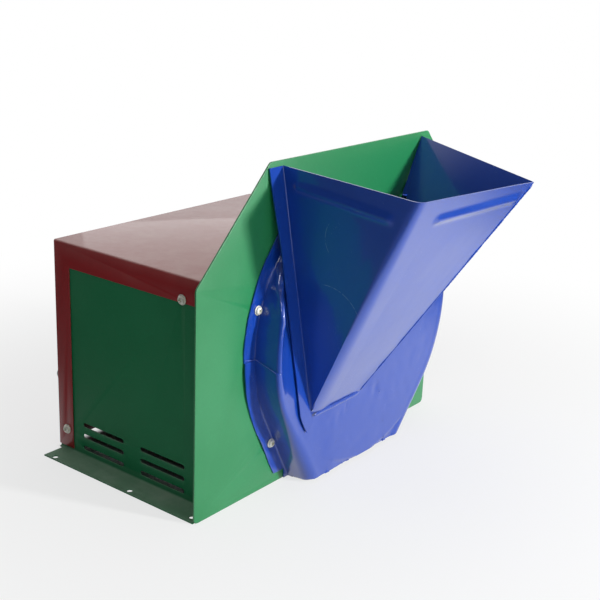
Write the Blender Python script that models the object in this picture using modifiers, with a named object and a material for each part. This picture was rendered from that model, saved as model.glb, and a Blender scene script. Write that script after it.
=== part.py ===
"""Electric disc crusher for fruit, bench type.

A green steel front plate carries a flange motor behind it and a blue crushing
chamber with a lopsided hopper in front of it.  Two green side panels with foot
flanges and a red cover close the motor box.  The motor shaft passes through the
plate and turns a knife disc inside the chamber.

Machine coordinates: X runs along the front plate from its left edge, Y runs from
the plate's front face to the back of the motor box, Z is up from the bench.
The whole machine hangs on one empty, which puts the world origin under the
middle of the machine's outer box.  All sizes are in metres.
"""
import math

import bmesh
import bpy
from mathutils import Vector

# ---------------------------------------------------------------- driving sizes
GAP = 0.0003                 # running and seating gap between touching pieces
SEAT = 0.0004                # gap between welded sheets

# front plate
PLATE_WIDTH = 0.430
PLATE_HEIGHT = 0.358
PLATE_THICKNESS = 0.002
PLATE_CORNER_RADIUS = 0.006
SHOULDER_RISE = 0.0015       # plate's left shoulder above the cover
RIGHT_CHAMFER = (0.034, 0.036)

# motor box
BOX_LEFT = 0.030             # left side panel, from the plate's left edge
BOX_RIGHT_MARGIN = 0.075      # right side panel, from the plate's right edge
COVER_DEPTH = 0.2404
COVER_HEIGHT = 0.2475
COVER_SHEET = 0.0010
COVER_TOP_FLANGE = 0.0282
COVER_BACK_FLANGE = 0.0251
COVER_BEND = 0.0022
COVER_FOOT = 0.0044          # cover's lower edge above the bench
PANEL_SHEET = 0.0015
PANEL_RETURN = 0.012         # inward lip along a side panel's top
PANEL_BEND = 0.0025
FOOT_WIDTH = 0.030
FOOT_BACK_GAP = 0.0077       # foot flange ends this far short of the cover's back
FOOT_HOLE_RADIUS = 0.0032
FOOT_HOLE_BACK = (0.0051, 0.0214)     # from the foot's edge, and before the cover's back
FOOT_HOLE_MIDDLE = (0.0058, 0.0995)   # from the foot's edge, and behind the plate's face
FOOT_HOLE_FRONT = (0.0090, 0.0112)

# ventilation slots in both side panels
SLOT_HEIGHT = 0.0050
SLOT_ROWS = (0.0106, 0.0252, 0.0387)
SLOT_FRONT_MARGIN = 0.0426    # plate's face to the front slots
SLOT_BACK_MARGIN = 0.0404     # rear slots to the cover's back
SLOT_BRIDGE = 0.0256          # between the two columns of slots

# crushing chamber
CHAMBER_RADIUS = 0.162       # outside of the pan's wall
CHAMBER_DEPTH = 0.035        # plate to the outside of the pan's face
CHAMBER_SHEET = 0.0012
CHAMBER_EDGE = 0.012         # rounding between the pan's wall and face
FLANGE_WIDTH = 0.018
BEATEN_ROOM = 0.0010         # under the weld strip, the pan's face lies this much deeper
BEATEN_RIGHT = 0.016         # from the strip's fold to where the face rises again
BEATEN_RISE = 0.030
AXIS_HEIGHT = 0.159
PLATE_MARGIN = 0.0010        # flange edge to the plate's right edge
CHUTE_LEFT = -0.0994         # chute's bottom corners, from the shaft's axis
CHUTE_RIGHT = 0.0761
CHUTE_LIP_FRONT = 0.0039     # chute's lip above the bench
CHUTE_LIP_BACK = 0.0086
FLANGE_FOOT = 0.0118         # lower end of the flange above the bench
FLANGE_INSET_LEFT = 0.0075    # from the chute's bottom corners to where the flange is cut
FLANGE_INSET_RIGHT = 0.0095

# hopper
HOPPER_SHEET = 0.0012
HOPPER_REACH = 0.166         # plate to the rim's front edge
RIM_BACK_DROP = 0.0054       # rim's back corners under the plate's top
RIM_LEFT_DROP = 0.0099       # front left corner under the back corners
RIM_RIGHT_DROP = 0.0228
RIM_BACK_LEFT = -0.1264      # rim's corners, from the shaft's axis
RIM_BACK_RIGHT = 0.1333
RIM_FRONT_LEFT = -0.1286
RIM_FRONT_RIGHT = 0.0972
FOOT_LEFT = (-0.1095, -0.068)        # where the left wall ends on the pan's face
FOOT_CORNER = (-0.1010, -0.073)
FOOT_RIGHT = (-0.0202, -0.0717)
FOLD_AT_RIM = 0.010          # rounding of the front left fold
FOLD_AT_FOOT = 0.012
STRIP_TOP_WIDTH = 0.0215     # weld strip along the left wall
STRIP_FOOT_WIDTH = 0.0170
HOPPER_ROOM = 0.0013          # the pan's cut edge to the hopper's walls

# motor
SHAFT_RADIUS = 0.0085
SHAFT_NOSE_RADIUS = 0.0070
MOTOR_BOLT_ROOM = 0.0085       # from the body to the bolt circle
MOTOR_FLANGE_EDGE = 0.0105     # from the bolt circle to the edge
MOTOR_FLANGE_THICKNESS = 0.009
MOTOR_BOLT_RADIUS = 0.004
MOTOR_BOLT_HEAD = 0.0045
MOTOR_NUT_HEIGHT = 0.0065
MOTOR_BODY_RADIUS = 0.061
MOTOR_BODY_WALL = 0.005
MOTOR_BODY_LENGTH = 0.120
SHIELD_NECK = 0.018
SHIELD_FILLET = 0.0014
REAR_SHIELD_LENGTH = 0.018
FIN_COUNT = 24
FIN_HEIGHT = 0.008
FIN_THICKNESS = 0.003
STATOR_BORE = 0.031
STATOR_LENGTH = 0.068
BEARING_RADIUS = 0.020
BEARING_WIDTH = 0.012
FAN_RADIUS = 0.050
FAN_WIDTH = 0.013
FAN_CLEARANCE = 0.004
COWL_INSET = 0.003
COWL_SHEET = 0.0012
FAN_SHAFT_RADIUS = 0.0060
SHAFT_FRONT = -0.0270        # shaft's nose in front of the plate
ROTOR_AIR_GAP = 0.0006
SEAL_LIP = 0.0010
TERMINAL_BOX_SIZE = 0.062
TERMINAL_BOX_DEPTH = 0.034
TERMINAL_BOX_WALL = 0.0025
CAPACITOR_DROP = 0.004
CAPACITOR_RADIUS = 0.019
CAPACITOR_LENGTH = 0.070

# knife disc
DISC_RADIUS = 0.130
DISC_THICKNESS = 0.003
DISC_STANDOFF = 0.009        # plate to the back of the disc
BLADE_COUNT = 4
BLADE_LENGTH = 0.082
BLADE_WIDTH = 0.016
BLADE_THICKNESS = 0.0022
BLADE_INNER = 0.030
DISC_PLAY = 0.0040           # blades to the hopper's right wall
DISC_NOTCH = 0.28            # where the wall's notch for the disc starts
TOOTH_COUNT = 9
TOOTH_DEPTH = 0.0035
EDGE_BOW = 0.0008            # the blade's edge stands forward at its middle
SLOT_AHEAD = 0.0045          # a blade's back edge to its slot
SLOT_OPENING = 0.011
HUB_RADIUS = 0.022
DISC_WASHER_RADIUS = 0.015
DISC_WASHER_THICKNESS = 0.0020
DISC_NUT_HEIGHT = 0.0090

# fasteners
SCREW_HEAD_RADIUS = 0.0042
SCREW_HEAD_HEIGHT = 0.0032
SCREW_WASHER_RADIUS = 0.0056
SCREW_WASHER_HEIGHT = 0.0010
SCREW_SHANK_RADIUS = 0.0024
SCREW_LENGTH = 0.011
SCREW_SIDES = 14
CROSS_LENGTH = 0.60          # cross recess, as shares of the head's radius
CROSS_WIDTH = 0.13
CROSS_DEPTH = 0.0018
SCREW_NUT_HEIGHT = 0.0038
CHUTE_BOLT_OFFSET = (-0.0850, 0.0100)    # from the axis, and above the bench
CHAMBER_SCREW_ANGLES = (162.8, -140.9, -39.1, 17.2)
CHAMBER_SCREW_INSET = 0.0053  # from the pan's wall
CHAMBER_WASHER_RADIUS = 0.0047
COVER_SCREW_FRONT = 0.0456    # upper cover screw, from the plate
COVER_SCREW_DROP = 0.0244     # and under the cover's top
COVER_SCREW_INSET = 0.0155    # lower cover screw, from the cover's back
COVER_SCREW_RISE = 0.0262     # and above the bench

# back of the cover
GLAND_INSET = 0.026          # from the cover's left side
GLAND_HEIGHT = 0.077
GLAND_RADIUS = 0.0130
GLAND_THREAD_RADIUS = 0.0075
GLAND_LENGTH = 0.024
LEAD_RADIUS = 0.0033
SWITCH_INSET = 0.064
SWITCH_HEIGHT = 0.160
SWITCH_BEZEL_WIDTH = 0.0220
SWITCH_BEZEL_TALL = 0.0300
SWITCH_BEZEL_HEIGHT = 0.0020
SWITCH_BODY_WIDTH = 0.0180
SWITCH_BODY_TALL = 0.0260
SWITCH_BODY_DEPTH = 0.0180
ROCKER_WIDTH = 0.0114
ROCKER_TALL = 0.0184
ROCKER_PLAY = 0.0010         # round the rocker's ends, for its swing
ROCKER_RECESS = 0.0110       # recess under the cover's back face
ROCKER_PIVOT = -0.0030
ROCKER_TILT = math.radians(9.0)
LOCKNUT_HEIGHT = 0.0040
LEAD_STEPS = 3
LEAD_STRAIGHT = 0.006        # straight length at a lead's ends

# ---------------------------------------------------------------- derived places
AXIS_X = PLATE_WIDTH - PLATE_MARGIN - CHAMBER_RADIUS - FLANGE_WIDTH
AXIS = Vector((AXIS_X, 0.0, AXIS_HEIGHT))
PLATE_BACK = PLATE_THICKNESS
BOX_RIGHT = PLATE_WIDTH - BOX_RIGHT_MARGIN
COVER_LEFT = BOX_LEFT - GAP - COVER_SHEET
COVER_RIGHT = BOX_RIGHT + GAP + COVER_SHEET
BOX_FRONT = PLATE_BACK + GAP
PANEL_TOP = COVER_HEIGHT - COVER_SHEET - GAP
PANEL_BACK = COVER_DEPTH - COVER_BEND - GAP
SLOT_LENGTH = (COVER_DEPTH - SLOT_FRONT_MARGIN - SLOT_BACK_MARGIN - SLOT_BRIDGE) / 2
SLOT_COLUMNS = ((SLOT_FRONT_MARGIN, SLOT_FRONT_MARGIN + SLOT_LENGTH),
                (COVER_DEPTH - SLOT_BACK_MARGIN - SLOT_LENGTH, COVER_DEPTH - SLOT_BACK_MARGIN))
FOOT_HOLES = ((FOOT_HOLE_BACK[0], COVER_DEPTH - FOOT_HOLE_BACK[1]), FOOT_HOLE_MIDDLE, FOOT_HOLE_FRONT)
COVER_SCREWS = ((COVER_SCREW_FRONT, COVER_HEIGHT - COVER_SCREW_DROP),
                (COVER_DEPTH - COVER_SCREW_INSET, COVER_SCREW_RISE))
GLAND_SPOT = Vector((COVER_LEFT + GLAND_INSET, COVER_DEPTH, GLAND_HEIGHT))
SWITCH_SPOT = Vector((COVER_LEFT + SWITCH_INSET, COVER_DEPTH, SWITCH_HEIGHT))
CHUTE_BOLT = (AXIS_X + CHUTE_BOLT_OFFSET[0], CHUTE_BOLT_OFFSET[1])
RIM_HEIGHT = PLATE_HEIGHT - RIM_BACK_DROP
STRIP_STANDOFF = SEAT + HOPPER_SHEET
FOOT_PLANE = -(CHAMBER_DEPTH + STRIP_STANDOFF)
MOTOR_BOLT_CIRCLE = MOTOR_BODY_RADIUS + MOTOR_BOLT_ROOM
MOTOR_FLANGE_RADIUS = MOTOR_BOLT_CIRCLE + MOTOR_FLANGE_EDGE
BODY_FRONT = BOX_FRONT + MOTOR_FLANGE_THICKNESS + SHIELD_NECK + GAP
BODY_BACK = BODY_FRONT + MOTOR_BODY_LENGTH
REAR_SHIELD_BACK = BODY_BACK + GAP + REAR_SHIELD_LENGTH
FAN_FRONT = REAR_SHIELD_BACK + FAN_CLEARANCE
FAN_BACK = FAN_FRONT + FAN_WIDTH
COWL_FRONT = BODY_BACK + GAP + COWL_INSET
COWL_BACK = FAN_BACK + FAN_CLEARANCE + COWL_SHEET
DISC_BACK = -DISC_STANDOFF
DISC_FRONT = DISC_BACK - DISC_THICKNESS
ORIGIN = Vector((-PLATE_WIDTH / 2, -(COVER_DEPTH + GLAND_LENGTH - HOPPER_REACH) / 2, 0.0))


def from_axis(offset_x, y, offset_z=0.0):
    """A point given by its distance from the shaft's axis."""
    return AXIS + Vector((offset_x, y, offset_z))


RIM_A = Vector((AXIS_X + RIM_BACK_LEFT, -STRIP_STANDOFF, RIM_HEIGHT))
RIM_B = Vector((AXIS_X + RIM_FRONT_LEFT, -HOPPER_REACH, RIM_HEIGHT - RIM_LEFT_DROP))
RIM_C = Vector((AXIS_X + RIM_FRONT_RIGHT, -HOPPER_REACH, RIM_HEIGHT - RIM_RIGHT_DROP))
RIM_D = Vector((AXIS_X + RIM_BACK_RIGHT, -SEAT - 2 * GAP / 3, RIM_HEIGHT))
FOOT_A = from_axis(FOOT_LEFT[0], FOOT_PLANE, FOOT_LEFT[1])
FOOT_B = from_axis(FOOT_CORNER[0], FOOT_PLANE, FOOT_CORNER[1])
FOOT_C = from_axis(FOOT_RIGHT[0], FOOT_PLANE, FOOT_RIGHT[1])


# ---------------------------------------------------------------- scene set-up
for old in list(bpy.data.objects):
    bpy.data.objects.remove(old)

parts = bpy.data.collections.new("fruit_crusher")
cutters = bpy.data.collections.new("cutters")
bpy.context.scene.collection.children.link(parts)
bpy.context.scene.collection.children.link(cutters)


def add_empty(name, location, parent=None):
    """An empty that carries other objects."""
    empty = bpy.data.objects.new(name, None)
    empty.location = location
    empty.parent = parent
    cutters.objects.link(empty)
    return empty


machine = add_empty("machine", ORIGIN)
rotor = add_empty("rotor_axis", AXIS, machine)


def add_material(name, colour, roughness, metallic=0.0):
    """A plain Principled material."""
    material = bpy.data.materials.new(name)
    material.use_nodes = True
    shader = material.node_tree.nodes["Principled BSDF"]
    shader.inputs["Base Color"].default_value = (*colour, 1.0)
    shader.inputs["Roughness"].default_value = roughness
    shader.inputs["Metallic"].default_value = metallic
    material.diffuse_color = (*colour, 1.0)
    return material


GREEN = add_material("green_paint", (0.03, 0.30, 0.12), 0.45)
RED = add_material("red_paint", (0.16, 0.008, 0.012), 0.35)
BLUE = add_material("blue_paint", (0.02, 0.07, 0.40), 0.22)
ZINC = add_material("zinc", (0.62, 0.60, 0.55), 0.35, 1.0)
STEEL = add_material("steel", (0.50, 0.50, 0.51), 0.30, 1.0)
ALUMINIUM = add_material("cast_aluminium", (0.55, 0.56, 0.57), 0.50, 1.0)
BLACK = add_material("black_plastic", (0.02, 0.02, 0.02), 0.45)
RUBBER = add_material("rubber", (0.015, 0.015, 0.015), 0.75)
COPPER = add_material("copper", (0.55, 0.20, 0.09), 0.40, 1.0)


# ---------------------------------------------------------------- modelling tools
def smooth(mesh):
    mesh.shade_smooth()
    mesh.set_sharp_from_angle(angle=math.radians(35))


def finish(obj, material, parent=machine):
    """Put a modelled object with the machine's parts."""
    obj.data.materials.clear()
    obj.data.materials.append(material)
    smooth(obj.data)
    obj.parent = parent
    return obj


def object_from(name, mesh, collection=parts):
    obj = bpy.data.objects.new(name, mesh)
    collection.objects.link(obj)
    return obj


def bake(obj):
    """Replace an object by the mesh that it evaluates to, closed and facing out."""
    bpy.context.view_layer.update()
    evaluated = obj.evaluated_get(bpy.context.evaluated_depsgraph_get())
    mesh = bpy.data.meshes.new_from_object(evaluated)
    shape = bmesh.new()
    shape.from_mesh(mesh)
    bmesh.ops.remove_doubles(shape, verts=shape.verts, dist=1e-6)
    bmesh.ops.recalc_face_normals(shape, faces=shape.faces)
    shape.to_mesh(mesh)
    shape.free()
    name = obj.name
    matrix = obj.matrix_world.copy()
    owner = obj.users_collection[0]
    bpy.data.objects.remove(obj)
    result = object_from(name, mesh, owner)
    result.matrix_world = matrix
    return result


def box(name, low, high, collection=parts):
    """A box between two corners, its origin at the middle."""
    low, high = Vector(low), Vector(high)
    mesh = bpy.data.meshes.new(name)
    shape = bmesh.new()
    bmesh.ops.create_cube(shape, size=1.0)
    bmesh.ops.scale(shape, vec=high - low, verts=shape.verts)
    shape.to_mesh(mesh)
    shape.free()
    obj = object_from(name, mesh, collection)
    obj.location = (low + high) / 2
    return obj


def turned(name, profile, segments=32, collection=parts):
    """A body turned about the Y axis from a closed profile of (radius, y)."""
    mesh = bpy.data.meshes.new(name)
    count = len(profile)
    mesh.from_pydata([(radius, y, 0.0) for radius, y in profile],
                     [(i, (i + 1) % count) for i in range(count)], [])
    obj = object_from(name, mesh, collection)
    screw = obj.modifiers.new("turn", "SCREW")
    screw.axis = "Y"
    screw.steps = screw.render_steps = segments
    screw.use_merge_vertices = True
    screw.merge_threshold = 1e-5
    bpy.context.view_layer.update()
    evaluated = obj.evaluated_get(bpy.context.evaluated_depsgraph_get())
    solid = bpy.data.meshes.new_from_object(evaluated)
    bpy.data.objects.remove(obj)
    shape = bmesh.new()
    shape.from_mesh(solid)
    bmesh.ops.remove_doubles(shape, verts=shape.verts, dist=1e-6)
    bmesh.ops.dissolve_degenerate(shape, dist=1e-6, edges=shape.edges)
    axis_edges = [edge for edge in shape.edges if not edge.link_faces]
    bmesh.ops.delete(shape, geom=axis_edges, context="EDGES")
    bmesh.ops.recalc_face_normals(shape, faces=shape.faces)
    shape.to_mesh(solid)
    shape.free()
    return object_from(name, solid, collection)


def ring(radius, count, centre=(0.0, 0.0), start=0.0):
    """Points of a circle."""
    return [(centre[0] + radius * math.cos(start + math.tau * i / count),
             centre[1] + radius * math.sin(start + math.tau * i / count)) for i in range(count)]


def rounded(points, radius, steps=4, closed=True):
    """An outline with its corners replaced by arcs."""
    result = []
    count = len(points)
    for i, point in enumerate(points):
        corner = Vector(point)
        if not closed and i in (0, count - 1):
            result.append(tuple(corner))
            continue
        before = Vector(points[i - 1]) - corner
        after = Vector(points[(i + 1) % count]) - corner
        reach = radius / math.tan(before.angle(after) / 2)
        start = corner + before.normalized() * reach
        end = corner + after.normalized() * reach
        for k in range(steps + 1):
            t = k / steps
            result.append(tuple(start * (1 - t) ** 2 + corner * 2 * t * (1 - t) + end * t ** 2))
    return result


def flat(name, outlines, thickness, collection=parts):
    """A flat piece in its XY plane: the first outline is its edge, the rest are holes."""
    curve = bpy.data.curves.new(name, "CURVE")
    curve.dimensions = "2D"
    curve.fill_mode = "BOTH"
    curve.extrude = thickness / 2
    for outline in outlines:
        spline = curve.splines.new("POLY")
        spline.points.add(len(outline) - 1)
        for spot, (x, y) in zip(spline.points, outline):
            spot.co = (x, y, 0.0, 1.0)
        spline.use_cyclic_u = True
    obj = bpy.data.objects.new(name, curve)
    collection.objects.link(obj)
    return bake(obj)


def upright(obj, y):
    """Stand a flat piece up: its own Y becomes the machine's Z, its middle lies at y."""
    obj.rotation_euler = (math.pi / 2, 0.0, 0.0)
    obj.location = Vector((0.0, y, 0.0))
    return obj


def cut(obj, cutter, operation="DIFFERENCE", parent=machine):
    """Cut an object by another, or join it to another."""
    cutter.hide_render = True
    cutter.display_type = "WIRE"
    cutter.parent = parent
    boolean = obj.modifiers.new(operation.lower(), "BOOLEAN")
    boolean.operation = operation
    boolean.object = cutter
    return obj


def joined(name, shapes):
    """One mesh of several closed bodies, to cut with."""
    whole = bmesh.new()
    for shape in shapes:
        bpy.context.view_layer.update()
        copy = shape.data.copy()
        copy.transform(shape.matrix_basis)
        whole.from_mesh(copy)
        bpy.data.objects.remove(shape)
    mesh = bpy.data.meshes.new(name)
    whole.to_mesh(mesh)
    whole.free()
    return object_from(name, mesh, cutters)


def drill(radius, reach, location, segments):
    """A round cutter along Y, to both sides of a place."""
    hole = turned("hole", [(0.0, -reach), (radius, -reach), (radius, reach), (0.0, reach)],
                  segments, cutters)
    hole.location = location
    return hole


def bent_sheet(name, section, depth, thickness, inward):
    """A sheet folded along Y: an open line in the XZ plane, drawn out and thickened."""
    mesh = bpy.data.meshes.new(name)
    count = len(section)
    front = [(x, 0.0, z) for x, z in section]
    back = [(x, depth, z) for x, z in section]
    mesh.from_pydata(front + back, [],
                     [(i, i + 1, count + i + 1, count + i) for i in range(count - 1)])
    obj = object_from(name, mesh)
    wall = obj.modifiers.new("sheet", "SOLIDIFY")
    wall.thickness = thickness
    wall.offset = inward
    wall.use_even_offset = True
    return bake(obj)


def rounded_slot(low, high, height, x, thickness):
    """A slot with round ends through a side panel, to cut with."""
    radius = height / 2
    outline = []
    for centre, start in ((high - radius, -90), (low + radius, 90)):
        for k in range(5):
            angle = math.radians(start + 45 * k)
            outline.append((centre + radius * math.cos(angle), radius * math.sin(angle)))
    slot = flat("slot", [outline], thickness, cutters)
    slot.rotation_euler = (math.pi / 2, 0.0, math.pi / 2)
    slot.location.x = x
    return slot


# ---------------------------------------------------------------- motor box
def make_front_plate():
    """Green plate that everything hangs on."""
    shoulder = COVER_HEIGHT + SHOULDER_RISE
    top_left = RIM_A.x - STRIP_TOP_WIDTH + 0.004
    chamfer_x, chamfer_z = RIGHT_CHAMFER
    outline = rounded([(0.0, 0.0), (PLATE_WIDTH, 0.0), (PLATE_WIDTH, PLATE_HEIGHT - chamfer_z),
                       (PLATE_WIDTH - chamfer_x, PLATE_HEIGHT), (top_left, PLATE_HEIGHT),
                       (0.0, shoulder)], PLATE_CORNER_RADIUS, steps=3)
    centre = (AXIS_X, AXIS_HEIGHT)
    holes = [ring(BEARING_RADIUS + GAP, 40, centre)]
    for x, z in motor_bolt_spots():
        holes.append(ring(MOTOR_BOLT_RADIUS + GAP, 16, (AXIS_X + x, AXIS_HEIGHT + z)))
    for x, z in chamber_screw_spots() + [CHUTE_BOLT]:
        holes.append(ring(SCREW_SHANK_RADIUS + GAP, 12, (x, z)))
    plate = flat("front_plate", [outline] + holes, PLATE_THICKNESS)
    finish(upright(plate, PLATE_THICKNESS / 2), GREEN)


def make_side_panel(name, side):
    """Folded side panel: foot flange outwards, lip inwards, six slots, two screw holes."""
    outer = BOX_LEFT if side < 0 else BOX_RIGHT
    section = rounded([(outer + side * FOOT_WIDTH, PANEL_SHEET), (outer, PANEL_SHEET), (outer, PANEL_TOP),
                       (outer - side * PANEL_RETURN, PANEL_TOP)], PANEL_BEND, steps=3, closed=False)
    panel = bent_sheet(name, section, PANEL_BACK - BOX_FRONT, PANEL_SHEET, inward=side)
    panel.location.y = BOX_FRONT
    through = 4 * PANEL_SHEET
    middle = outer - side * PANEL_SHEET / 2
    shapes = []
    for front, back in SLOT_COLUMNS:
        for row in SLOT_ROWS:
            slot = rounded_slot(front, back, SLOT_HEIGHT, middle, through)
            slot.location.z = row
            shapes.append(slot)
    for y, z in COVER_SCREWS:
        hole = drill(SCREW_SHANK_RADIUS + GAP, through, (middle, y, z), 12)
        hole.rotation_euler.z = math.pi / 2
        shapes.append(hole)
    for inset, y in FOOT_HOLES:
        hole = drill(FOOT_HOLE_RADIUS, through, (outer + side * (FOOT_WIDTH - inset), y, 0.0), 16)
        hole.rotation_euler.x = math.pi / 2
        shapes.append(hole)
    edges = sorted((outer + side * PANEL_BEND, outer + side * 2 * FOOT_WIDTH))
    shapes.append(box("foot_end", (edges[0], COVER_DEPTH - FOOT_BACK_GAP, -through),
                      (edges[1], 2 * COVER_DEPTH, through), cutters))
    cut(panel, joined(name + "_cuts", shapes))
    finish(panel, GREEN)


def make_cover():
    """Red cover: top and back in one sheet, with flanges over both side panels."""
    mesh = bpy.data.meshes.new("cover")
    shape = bmesh.new()
    bmesh.ops.create_cube(shape, size=1.0)
    low = Vector((COVER_LEFT, BOX_FRONT, COVER_FOOT))
    high = Vector((COVER_RIGHT, COVER_DEPTH, COVER_HEIGHT))
    bmesh.ops.scale(shape, vec=high - low, verts=shape.verts)
    bmesh.ops.translate(shape, vec=(low + high) / 2, verts=shape.verts)
    open_sides = [face for face in shape.faces if face.normal.z < -0.5 or face.normal.y < -0.5]
    bmesh.ops.delete(shape, geom=open_sides, context="FACES")
    folds = [edge for edge in shape.edges if not edge.is_boundary]
    bmesh.ops.bevel(shape, geom=folds, offset=COVER_BEND, segments=3, profile=0.5, affect="EDGES")
    shape.to_mesh(mesh)
    shape.free()
    cover = object_from("cover", mesh)
    wall = cover.modifiers.new("sheet", "SOLIDIFY")
    wall.thickness = COVER_SHEET
    wall.offset = -1.0
    wall.use_even_offset = True
    window = box("cover_window", (COVER_LEFT - 0.01, 0.0, -0.01),
                 (COVER_RIGHT + 0.01, COVER_DEPTH - COVER_BACK_FLANGE, COVER_HEIGHT - COVER_TOP_FLANGE),
                 cutters)
    through = 4 * COVER_SHEET
    shapes = [window]
    for x in (COVER_LEFT, COVER_RIGHT):
        for y, z in COVER_SCREWS:
            hole = drill(SCREW_SHANK_RADIUS + GAP, through, (x, y, z), 12)
            hole.rotation_euler.z = math.pi / 2
            shapes.append(hole)
    shapes.append(drill(GLAND_THREAD_RADIUS + GAP, through, GLAND_SPOT, 24))
    half = Vector((SWITCH_BODY_WIDTH / 2 + GAP, through, SWITCH_BODY_TALL / 2 + GAP))
    shapes.append(box("switch_hole", SWITCH_SPOT - half, SWITCH_SPOT + half, cutters))
    cut(cover, joined("cover_cuts", shapes))
    finish(cover, RED)


# ---------------------------------------------------------------- crushing chamber
def strip_plane(z):
    """Y of the weld strip's outer face: on the plate at the rim, on the pan's face at the foot."""
    travel = (RIM_A.z - z) / (RIM_A.z - FOOT_A.z)
    travel = min(1.0, max(0.0, travel))
    return RIM_A.y + (FOOT_A.y - RIM_A.y) * travel


def chamber_depth(x, z):
    """Depth of the pan's outside, which is beaten back to pass under the weld strip."""
    under_strip = min(CHAMBER_DEPTH, -strip_plane(z) - STRIP_STANDOFF - BEATEN_ROOM)
    fold_x = RIM_A.x + (FOOT_A.x - RIM_A.x) * (RIM_A.z - z) / (RIM_A.z - FOOT_A.z)
    blend = min(1.0, max(0.0, (x - fold_x - BEATEN_RIGHT) / BEATEN_RISE))
    return under_strip + (CHAMBER_DEPTH - under_strip) * blend


def tangent_angle(corner_x, side):
    """Angle at which a chute wall leaves the round of the pan."""
    corner = Vector((corner_x, -AXIS_HEIGHT))
    return math.atan2(corner.y, corner.x) + side * math.acos(CHAMBER_RADIUS / corner.length)


def chamber_outline():
    """Outside of the pan's wall: (x, z) from the axis and the normal there, bottom left first."""
    below = -AXIS_HEIGHT - 0.025
    left = tangent_angle(CHUTE_LEFT, -1)
    right = tangent_angle(CHUTE_RIGHT, 1)
    result = []
    arc_steps, line_steps, floor_steps = 56, 5, 5

    def point_on(angle):
        return Vector((CHAMBER_RADIUS * math.cos(angle), CHAMBER_RADIUS * math.sin(angle)))

    def wall_foot(angle):
        """Where a chute wall, drawn down along its tangent, meets the level below."""
        start = point_on(angle)
        run = Vector((-math.sin(angle), math.cos(angle)))
        return start + run * ((below - start.y) / run.y)

    left_foot, right_foot = wall_foot(left), wall_foot(right)
    for i in range(line_steps):
        spot = left_foot.lerp(point_on(left), i / line_steps)
        result.append((spot, Vector((math.cos(left), math.sin(left)))))
    sweep = math.tau - (right - left)
    for i in range(arc_steps + 1):
        angle = left - sweep * i / arc_steps
        result.append((point_on(angle), Vector((math.cos(angle), math.sin(angle)))))
    for i in range(1, line_steps + 1):
        spot = point_on(right).lerp(right_foot, i / line_steps)
        result.append((spot, Vector((math.cos(right), math.sin(right)))))
    for i in range(1, floor_steps):
        result.append((right_foot.lerp(left_foot, i / floor_steps), Vector((0.0, -1.0))))
    return result


def hopper_block():
    """The space inside the hopper's walls, to cut the pan with."""
    back = PLATE_THICKNESS / 2
    drop = (RIM_A.z - FOOT_A.z)
    left_run = FOOT_A - RIM_A.lerp(RIM_B, (RIM_A.y - FOOT_A.y) / (RIM_A.y - RIM_B.y))
    right_run = FOOT_C - RIM_D.lerp(RIM_C, (RIM_D.y - FOOT_C.y) / (RIM_D.y - RIM_C.y))
    back_left = RIM_A + left_run * (drop / -left_run.z)
    back_right = RIM_D + right_run * (drop / -right_run.z)
    points = [RIM_A, RIM_B, RIM_C, RIM_D, FOOT_A, FOOT_B, FOOT_C,
              Vector((RIM_A.x, back, RIM_A.z)), Vector((RIM_D.x, back, RIM_D.z)),
              Vector((back_left.x, back, back_left.z)), Vector((back_right.x, back, back_right.z))]
    shape = bmesh.new()
    for point in points:
        shape.verts.new(point)
    bmesh.ops.convex_hull(shape, input=shape.verts)
    bmesh.ops.recalc_face_normals(shape, faces=shape.faces)
    moved = [(vert, vert.normal * HOPPER_ROOM) for vert in shape.verts]
    for vert, step in moved:
        vert.co += step
    mesh = bpy.data.meshes.new("hopper_block")
    shape.to_mesh(mesh)
    shape.free()
    return object_from("hopper_block", mesh, cutters)


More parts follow.
